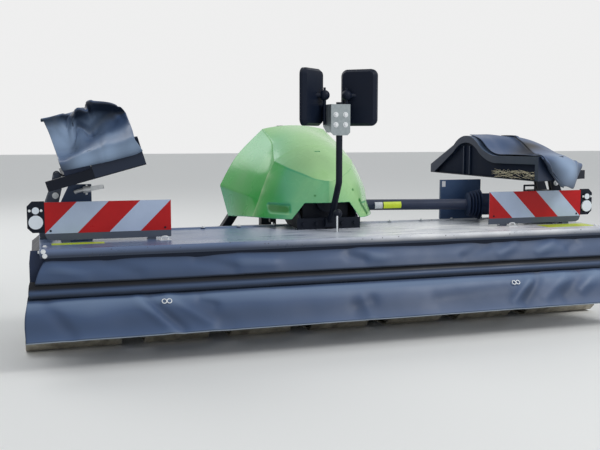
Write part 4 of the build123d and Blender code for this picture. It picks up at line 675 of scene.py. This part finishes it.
# Rows up each half and how many of them up the foot, and how far back and up the hollows reach, and how far back
# the crease with its painted highlight and the painted shade reach
HOOD_ROWS = 64
FOOT_STEPS = 8
POCKET_BACK = 60
POCKET_TOP = 640
CREASE_BACK = 75
PAINTED_SHADE_BACK = 30


def half_section(section):
    """One half of the hood's section, foot to crown, with the same number of places on each run."""
    y, foot, widest, flank, edge, step, crown = section
    side = [Vector((x, y, z)) for x, z in (foot, widest, flank, edge)]
    straight = [side[0].lerp(side[1], number / FOOT_STEPS) for number in range(FOOT_STEPS)]
    line = evenly(straight + spline(side[1:], 8), HOOD_ROWS)
    high = edge[1] + step
    for number in range(HOOD_ROWS // 2 + 1):
        share = 1 - number / (HOOD_ROWS // 2)
        line.append(Vector((edge[0] * share, y, high + (crown - high) * (1 - share * share))))
    return line


def pocket_depth(x, z):
    """How deep a hollow is at a place, rounded at its corners, in millimetres."""
    round_mm, wall_mm = 10, 5
    for mx, mz, half_x, half_z, low, high in HOOD_POCKETS:
        dx, dz = abs(x - mx) - half_x, abs(z - mz) - half_z
        corner = Vector((max(dx + round_mm, 0), max(dz + round_mm, 0))).length - round_mm
        inside = min(max(0.5 - max(dx, dz, corner) / wall_mm, 0), 1)
        if inside > 0:
            return inside * (low + (high - low) * (z - mz + half_z) / (2 * half_z))
    return 0.0


def cut_away(piece, cutters):
    """The piece as a plain mesh, without what lies inside the cutters."""
    for cutter in cutters:
        cut = piece.modifiers.new("cut", "BOOLEAN")
        cut.operation = "DIFFERENCE"
        cut.solver = "EXACT"
        cut.object = cutter
    made_plain(piece)
    for cutter in cutters:
        bpy.data.objects.remove(cutter)


def build_hood():
    """The moulded cover as one sheet over both halves, with its crease at the shoulder and its raised panel."""
    columns = []
    for sections, steps in ((NOSE_SECTIONS, 10), (BACK_SECTIONS, 22)):
        lines = [half_section(section) for section in sections]
        along = [evenly(spline(place, 8), steps * 8 + 1) for place in zip(*lines)]
        columns += list(zip(*along))[(1 if columns else 0):]
    shape = bmesh.new()
    for side in (-1, 1):
        grid = [[shape.verts.new((HOOD_MIDDLE + side * place.x, place.y, place.z)) for place in column]
                for column in columns]
        for near, far in zip(grid, grid[1:]):
            for row in range(len(near) - 1):
                corners = (near[row], near[row + 1], far[row + 1], far[row])
                shape.faces.new(corners if side == 1 else corners[::-1])
    bmesh.ops.remove_doubles(shape, verts=shape.verts, dist=0.05)
    bmesh.ops.recalc_face_normals(shape, faces=shape.faces)
    shape.normal_update()
    for vertex in shape.verts:
        if vertex.co.y < POCKET_BACK and vertex.co.z < POCKET_TOP:
            vertex.co -= vertex.normal * pocket_depth(vertex.co.x, vertex.co.z)
    shades = []
    for vertex in shape.verts:
        vertex.co *= MM
        x, y, z = vertex.co
        proud = crease_depth(x, z, HOOD_CREASES) if y < CREASE_BACK * MM else 0.0
        dark = crease_depth(x, z, HOOD_PAINTED_SHADE) / MM if y < PAINTED_SHADE_BACK * MM else 0.0
        vertex.co += vertex.normal * proud
        # The painted shade gets a firm edge, and the crease's ridge gets a painted highlight
        shades.append(min(max(dark * 1.6 - 0.5, 0), 1) - min(proud / MM / 3, 1) * 0.75)
    mesh = bpy.data.meshes.new("hood_moulding")
    shape.to_mesh(mesh)
    shape.free()
    shaded(mesh, shades)
    piece = new_piece("hood_moulding", mesh, "hood_polyethylene", "base")
    thicken(piece, HOOD_WALL_MM, -1.0)
    cutters = []
    for name, outline, axis, low, high in (("arch", HOOD_ARCH, "y", -260, -92), ("slot", HOOD_SLOT, "z", 850, 960)):
        moved = [(HOOD_MIDDLE + u, v) for u, v in outline]
        cutters.append(linked(name, extruded(name, moved, axis, low, high)))
    cut_away(piece, cutters)
    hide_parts("hood")


build_hood()


# Warning boards: their outer end, foot and stripe, the backs of their sheets and patches, the thickness of both,
# and the red patches in stripes
BOARD_OUTER = 1404
BOARD_LOW = 540
STRIPE = 141
SHEET_BACK = -310.1
PATCH_BACK = -310.5
SHEET_MM = 0.4
RED_PATCHES = (((0, 0), (1, 1), (0, 1)), ((1, 0), (2, 0), (3, 1), (2, 1)), ((3, 0), (4, 0), (4, 1)))


def build_board_sheets():
    """The boards' white sheets and the red patches on them."""
    for side, word in ((-1, "left"), (1, "right")):
        sheets = [("sheet_" + word, "white", ((0, 0), (4, 0), (4, 1), (0, 1)), SHEET_BACK)]
        sheets += [("red_%s_%d" % (word, number), "red", patch, PATCH_BACK)
                   for number, patch in enumerate(RED_PATCHES)]
        for name, colour, patch, back in sheets:
            outline = [(side * (BOARD_OUTER - u * STRIPE), BOARD_LOW + v * STRIPE) for u, v in patch]
            plate("board_" + name, outline, "y", back - SHEET_MM, back, colour + "_retroreflective_film")


build_board_sheets()


# Mirror glasses: half sizes, corner radius and the glass's two faces, its middle in metres, its turn in degrees
MIRROR_HALF_X, MIRROR_HALF_Z = 88, 134
MIRROR_CORNER = 18
MIRROR_FACES = (0.2, 1.6)
MIRROR_MIDDLE = (0.135, -0.228, 1.166)
MIRROR_TURN = 42


def build_mirror_glass():
    outline = rounded(-MIRROR_HALF_X, -MIRROR_HALF_Z, MIRROR_HALF_X, MIRROR_HALF_Z, MIRROR_CORNER)
    for side, word in ((-1, "left"), (1, "right")):
        x, y, z = MIRROR_MIDDLE
        turn = Matrix.Rotation(math.radians(-side * MIRROR_TURN), 4, "Z")
        plate("mirror_glass_" + word, outline, "y", *MIRROR_FACES, "mirror_glass",
              place=Matrix.Translation((side * x, y, z)) @ turn)


build_mirror_glass()


# Fasteners. Each set: name, body, finish and rows of x, y, z of the seat in millimetres, the way the head faces,
# across flats
FASTENERS = (
    ("zinc_bolts", "base", "bright_zinc",
     [(x, -315.5, z, (0, -1, 0), 15) for x in (-25, 25) for z in (1030, 1079)]
     + [(side * 1430.2, y, z, (side, 0, 0), 15) for side in (-1, 1)
        for y, z in ((-500, 484), (-440, 478), (-400, 478), (-300, 478))]
     + [(side * x, -527.2, z, (0, -1, 0), 12) for side in (-1, 1) for x, z in ((1416, 489), (1410, 470))]
     + [(side * 1408, -440, 498.2, (0, 0, 1), 13) for side in (-1, 1)]
     + [(side * x, -314, 645, (0, -1, 0), 7) for side in (-1, 1) for x in (1418, 1468)]
     + [(side * x, 48, 505.2, (0, 0, 1), 13) for side in (-1, 1) for x in range(240, 1400, 190)]
     + [(side * x, -30, 498.2, (0, 0, 1), 16) for side in (-1, 1) for x in (1100, 1300)]
     + [(-1352, -161, z, (0, -1, 0), 17) for z in (700, 742)] + [(1349, -161, 712, (0, -1, 0), 17)]),
    ("black_bolts", "base", "frame_enamel",
     [(x, -150.4, 527, (0, -1, 0), 18) for x in (-140, -70, 70, 140)]
     + [(side * x, -310.8, 552, (0, -1, 0), 6) for side in (-1, 1) for x in (868, 1380)]),
)


def new_tree(name, source, sizes, result, seed=None):
    """A geometry tree and its named inputs: what it grows from, its sizes, a seed if it draws, and its finish."""
    tree = bpy.data.node_groups.new(name, "GeometryNodeTree")
    asked = [(source, "Geometry", None)] + [(label, "Float", size) for label, size in sizes]
    asked += [("Seed", "Int", seed)] if seed is not None else []
    for label, kind, value in asked + [("Finish", "Material", None)]:
        socket = tree.interface.new_socket(label, in_out="INPUT", socket_type="NodeSocket" + kind)
        if value is not None:
            socket.default_value = value
    tree.interface.new_socket(result, in_out="OUTPUT", socket_type="NodeSocketGeometry")
    return tree, add_node(tree, "NodeGroupInput").outputs


def end_tree(tree, ask, things):
    """Ends a tree with its instances made real and given their finish."""
    real = add_node(tree, "GeometryNodeRealizeInstances", [things])
    finish = add_node(tree, "GeometryNodeSetMaterial", {"Geometry": real, "Material": ask["Finish"]})
    add_node(tree, "NodeGroupOutput", [finish])
    return tree


def placed(tree, ask, thing):
    """Ends a tree with the thing set on each point, facing the point's aim, at the point's size."""
    aim = add_node(tree, "GeometryNodeInputNamedAttribute", {"Name": "aim"}, data_type="FLOAT_VECTOR")
    size = add_node(tree, "GeometryNodeInputNamedAttribute", {"Name": "across"}, data_type="FLOAT")
    turn = add_node(tree, "FunctionNodeAlignRotationToVector", {"Vector": aim}, axis="Z")
    place = add_node(tree, "GeometryNodeInstanceOnPoints", {
        "Points": ask["Points"], "Instance": thing, "Rotation": turn, "Scale": size})
    return end_tree(tree, ask, place)


def bolt_tree():
    """Geometry nodes that set a hexagon head on its washer at each point, facing the point's aim. Its sizes are
    shares of the width across flats."""
    tree, ask = new_tree("hexagon_heads", "Points", (
        ("Head Height", 0.42), ("Washer Height", 0.12), ("Washer Width", 1.75)), "Heads")
    head = add_node(tree, "GeometryNodeMeshCone", {
        "Vertices": 6, "Radius Top": 0.5, "Radius Bottom": 0.577, "Depth": ask["Head Height"]})
    half = add_node(tree, "ShaderNodeMath", [ask["Washer Width"], 0.5], operation="MULTIPLY")
    washer = add_node(tree, "GeometryNodeMeshCylinder", {
        "Vertices": 18, "Radius": half, "Depth": ask["Washer Height"]})
    lift = add_node(tree, "ShaderNodeCombineXYZ", {"Z": ask["Washer Height"]})
    raised = add_node(tree, "GeometryNodeTransform", {"Geometry": head, "Translation": lift})
    both = add_node(tree, "GeometryNodeJoinGeometry", [raised])
    feed(tree, both, [washer])
    return placed(tree, ask, both)


def grown(name, mesh, tree, body, finish):
    """The plain mesh that a tree grows from a mesh, riding on a body."""
    piece = linked(name, mesh)
    grow = piece.modifiers.new("grow", "NODES")
    grow.node_group = tree
    for socket in tree.interface.items_tree:
        if socket.in_out == "INPUT" and socket.name == "Finish":
            grow[socket.identifier] = MATERIALS[finish]
    made_plain(piece)
    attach(piece, body)


def aimed_points(name, places, aims, sizes):
    """Loose points in metres that carry an aim and a size for the trees."""
    mesh = bpy.data.meshes.new(name)
    mesh.from_pydata([tuple(place) for place in places], [], [])
    for label, kind, part, values in (
            ("aim", "FLOAT_VECTOR", "vector", [number for aim in aims for number in aim]),
            ("across", "FLOAT", "value", sizes)):
        mesh.attributes.new(label, kind, "POINT").data.foreach_set(part, values)
    return mesh


def build_fasteners():
    tree = bolt_tree()
    for name, body, finish, rows in FASTENERS:
        points = aimed_points(name, [Vector(row[:3]) * MM for row in rows], [row[3] for row in rows],
                              [row[4] * MM for row in rows])
        grown(name, points, tree, body, finish)


build_fasteners()


# Labels, clips and other small trim. Columns: name, outline's corners, corner radius, axis across it, place
# along the axis, thickness, finish
FLAT_TRIM = (
    ("deck_label_left", (-1379, -392, -1150, -330), 4, "z", 498, 0.6, "blank_label_yellow"),
    ("deck_label_right", (1123, -440, 1412, -318), 4, "z", 498, 0.6, "blank_label_yellow"),
    ("panel_label", (754, 688, 776, 720), 2, "y", 63.4, 0.6, "blank_label_white"),
    ("clip_foot_left", (-905, -372, -848, -338), 5, "z", 498, 3, "bright_zinc"),
    ("clip_foot_right", (944, -340, 1002, -306), 5, "z", 498, 3, "bright_zinc"),
)


def build_flat_trim():
    for name, corners, radius, axis, place, thick, finish in FLAT_TRIM:
        plate(name, rounded(*corners, radius), axis, place, place + thick, finish)


build_flat_trim()


def bar(name, radius_mm, line, closed=False):
    """A bright bar along places in millimetres."""
    swept(name, [Vector(place) * MM for place in line], radius_mm, "bright_zinc", closed)


def build_bars():
    """The clips' loops, the knob's stem, the latch with its lever, and the skirt's eyelets."""
    for side, x, y in ((-1, -877, -355), (1, 972, -323)):
        bar("clip_loop_%d" % side, 3, spline((
            (x - 17, y, 501), (x - 16, y, 510), (x - 8, y - 3, 515), (x + 8, y - 3, 515), (x + 16, y, 510),
            (x + 17, y, 501)), 5))
    bar("knob_stem", 4.5, [(-10, -298, z) for z in range(499, 580, 10)])
    bar("latch_handle", 9, spline((
        (-1268, -214, 716), (-1250, -216, 724), (-1200, -217, 731), (-1150, -217, 739), (-1136, -217, 741)), 6))
    bar("latch_collar", 16, ((-1230, -219, 728), (-1214, -219, 730), (-1196, -219, 732)))
    plate("latch_lever", ((-1206, 720), (-1142, 732), (-1136, 742), (-1142, 752), (-1208, 742)), "y", -228, -221,
          "bright_zinc")
    bar("latch_pin", 5, ((-1214, -217, 706), (-1214, -217, 752)))
    ring = arc(0, 0, 1, 0, 342, 18)
    for word, x, y, z in (("left", -910, -611, 263), ("right", 818, -619, 253)):
        for number, shift in enumerate((-11, 11)):
            bar("eyelet_%s_%d" % (word, number), 2.2,
                [(x + shift + 10 * u, y + 7 * v, z + 8 * v) for u, v in ring], closed=True)


build_bars()


# Outlines of the painted shade sheet in the recess under the lip of a guard, y and z, and of an end flap, x and z
RECESS_TOP = ((-514, 830), (-320, 827), (-127, 826), (-37, 842), (51, 881), (120, 920), (200, 935), (280, 920),
              (349, 881), (470, 818), (588, 757))
FLAP_OUTLINE = ((1400, 292), (1474, 292), (1474, 440), (1468, 492), (1400, 492))


def build_plates():
    """The strip that clamps the curtain under the deck's lip, the rubber flaps that close the corners behind the
    curtain's ends, dark sheets of painted shade in the guards' recesses, and the gusset between the left guard and
    its cloth."""
    plate("curtain_clamp", ((-526, 441), (-524.5, 439), (-521, 439), (-521, 459.8), (-526, 459.8)), "x", -1410, 1410,
          "black_abs")
    for side, word in ((-1, "left"), (1, "right")):
        plate("end_flap_" + word, [(side * x, z) for x, z in FLAP_OUTLINE], "y", -503, -500.2, "bellows_rubber")
    top = [(place.x, place.y) for place in spline([(*row, 0) for row in RECESS_TOP], 5)]
    for word, place in (("right", FLAT), ("left", FOLDED_LEFT)):
        plate("guard_painted_shade_liner_" + word, top + [(588, 750), (-514, 750)], "x", 995.6, 996.6, "painted_shade_liner",
              "guard_" + word, place)
    plate("guard_gusset_left", ((1196, -430), (1312, -375), (1312, -371), (1196, -426)), "z", 784, 838,
          "bellows_rubber", "guard_left", FOLDED_LEFT)


build_plates()


# Chopped grass caught under the right guard: low corner and high corner of where it lies, and the least and most
# turn of a blade in radians
STRAW_BED = ((978, -505, 752), (986, -120, 792))
STRAW_TURN = ((1.2, -0.5, -3.1), (1.9, 0.5, 3.1))


def straw_tree():
    """Geometry nodes that strew thin blades over a face, turned at random from a fixed seed."""
    tree, ask = new_tree("strewn_straw", "Bed", (
        ("Density", 9000.0), ("Blade Length", 0.034), ("Blade Width", 0.0016)), "Straw", seed=7)
    spots = add_node(tree, "GeometryNodeDistributePointsOnFaces", {
        "Mesh": ask["Bed"], "Density": ask["Density"], "Seed": ask["Seed"]})
    blade = add_node(tree, "GeometryNodeMeshCone", {
        "Vertices": 5, "Radius Top": 0.0004, "Radius Bottom": ask["Blade Width"], "Depth": ask["Blade Length"]})
    turn = add_node(tree, "FunctionNodeRandomValue", {
        0: STRAW_TURN[0], 1: STRAW_TURN[1], "Seed": ask["Seed"]}, data_type="FLOAT_VECTOR")
    place = add_node(tree, "GeometryNodeInstanceOnPoints", {
        "Points": spots, "Instance": blade, "Rotation": turn})
    return end_tree(tree, ask, place)


def build_straw():
    low, high = (Vector(corner) * MM for corner in STRAW_BED)
    bed = bpy.data.meshes.new("straw")
    bed.from_pydata([(high.x, low.y, low.z), (high.x, high.y, low.z), (high.x, high.y, high.z),
                     (high.x, low.y, high.z)], [], [(0, 1, 2, 3)])
    grown("straw", bed, straw_tree(), "guard_right", "dry_straw")


build_straw()


# Blank labels round the guard tube: the tube's axis, y and z, and the labels' radius
TUBE_AXIS = (34, 596)
TUBE_RADIUS = 30.4


def build_tube_labels():
    ring = arc(*TUBE_AXIS, TUBE_RADIUS, 140, 215, 6)
    for name, low, high, finish in (
            ("grey", 321, 366, "blank_label_white"), ("yellow", 372, 478, "blank_label_yellow")):
        rows = [[Vector((x, *place)) * MM for place in ring] for x in range(low, high + 1, 5)]
        new_piece("tube_label_" + name, net_mesh("tube_label_" + name, rows), finish, "base")


build_tube_labels()


# Relief springs: a coil wound round each. Columns: lower end, upper end
SPRING_ENDS = (((-240, 96, 530), (-215, 593, 785)), ((240, 96, 530), (215, 593, 785)))


def coil_tree():
    """Geometry nodes that wind a wire into a coil from each point, along the point's aim."""
    tree, ask = new_tree("coil_springs", "Points", (
        ("Turns", 26.0), ("Coil Radius", 0.025), ("Length", 0.33), ("Wire Radius", 0.0045)), "Coils")
    coil = add_node(tree, "GeometryNodeCurveSpiral", {
        "Resolution": 20, "Rotations": ask["Turns"], "Start Radius": ask["Coil Radius"],
        "End Radius": ask["Coil Radius"], "Height": ask["Length"]})
    section = add_node(tree, "GeometryNodeCurvePrimitiveCircle", {"Resolution": 10, "Radius": ask["Wire Radius"]})
    wire = add_node(tree, "GeometryNodeCurveToMesh", [coil, section])
    return placed(tree, ask, wire)


def build_springs():
    lows = [Vector(low).lerp(Vector(high), 0.2) * MM for low, high in SPRING_ENDS]
    aims = [(Vector(high) - Vector(low)).normalized() for low, high in SPRING_ENDS]
    grown("spring_coils", aimed_points("spring_coils", lows, aims, [1.0] * len(lows)), coil_tree(), "base",
          "spring_steel")


build_springs()


# Input stub: its axis' height, and the splines round it: how many, and one's corners by radius and turn in degrees
STUB_HEIGHT = 640
SPLINES = 6
SPLINE_CORNERS = ((16.0, -19), (19.0, -15), (19.0, 15), (16.0, 19))


def build_splines():
    outline = []
    for number in range(SPLINES):
        for radius, turn in SPLINE_CORNERS:
            angle = math.radians(360 / SPLINES * number + turn)
            outline.append((radius * math.sin(angle), STUB_HEIGHT + radius * math.cos(angle)))
    plate("stub_splines", outline, "y", 246, 322, "scuffed_steel", "pto_stub")


build_splines()


# Floor and light
FLOOR_HALF_M = 40.0
LAMPS = (("key_light", (4.0, -4.5, 5.5), 3.0, 200), ("back_light", (-3.5, 5.0, 5.5), 4.0, 120))


def build_stage():
    """A pale floor, an even sky and two soft lamps."""
    mesh = bpy.data.meshes.new("floor")
    mesh.from_pydata([(x * FLOOR_HALF_M, y * FLOOR_HALF_M, 0) for x, y in ((-1, -1), (1, -1), (1, 1), (-1, 1))], [],
                     [(0, 1, 2, 3)])
    floor = linked("floor", mesh)
    material, tree, shader, _ = new_material("pale_floor")
    feed(tree, shader, {"Base Color": "#f1f1ef", "Roughness": 0.9})
    mesh.materials.append(material)

    world = bpy.data.worlds.new("studio")
    bpy.context.scene.world = world
    world.use_nodes = True
    tree = world.node_tree
    tree.nodes.clear()
    rays = add_node(tree, "ShaderNodeLightPath").outputs
    soft = add_node(tree, "ShaderNodeBackground", [(0.93, 0.965, 1.0, 1), 0.56])
    pale = add_node(tree, "ShaderNodeBackground", [(1, 1, 1, 1), 0.86])
    seen = add_node(tree, "ShaderNodeMath", [rays["Is Camera Ray"], rays["Is Glossy Ray"]], operation="MAXIMUM")
    mix = add_node(tree, "ShaderNodeMixShader", [seen, soft, pale])
    add_node(tree, "ShaderNodeOutputWorld", [mix])

    for name, place, size, power in LAMPS:
        lamp = bpy.data.lights.new(name, "AREA")
        lamp.shape = "DISK"
        lamp.size = size
        lamp.energy = power
        holder = linked(name, lamp)
        holder.location = place
        aim = Vector((0, 0, 0.6)) - Vector(place)
        holder.rotation_euler = aim.to_track_quat("-Z", "Y").to_euler()
    bpy.context.scene.view_settings.view_transform = "Standard"


build_stage()
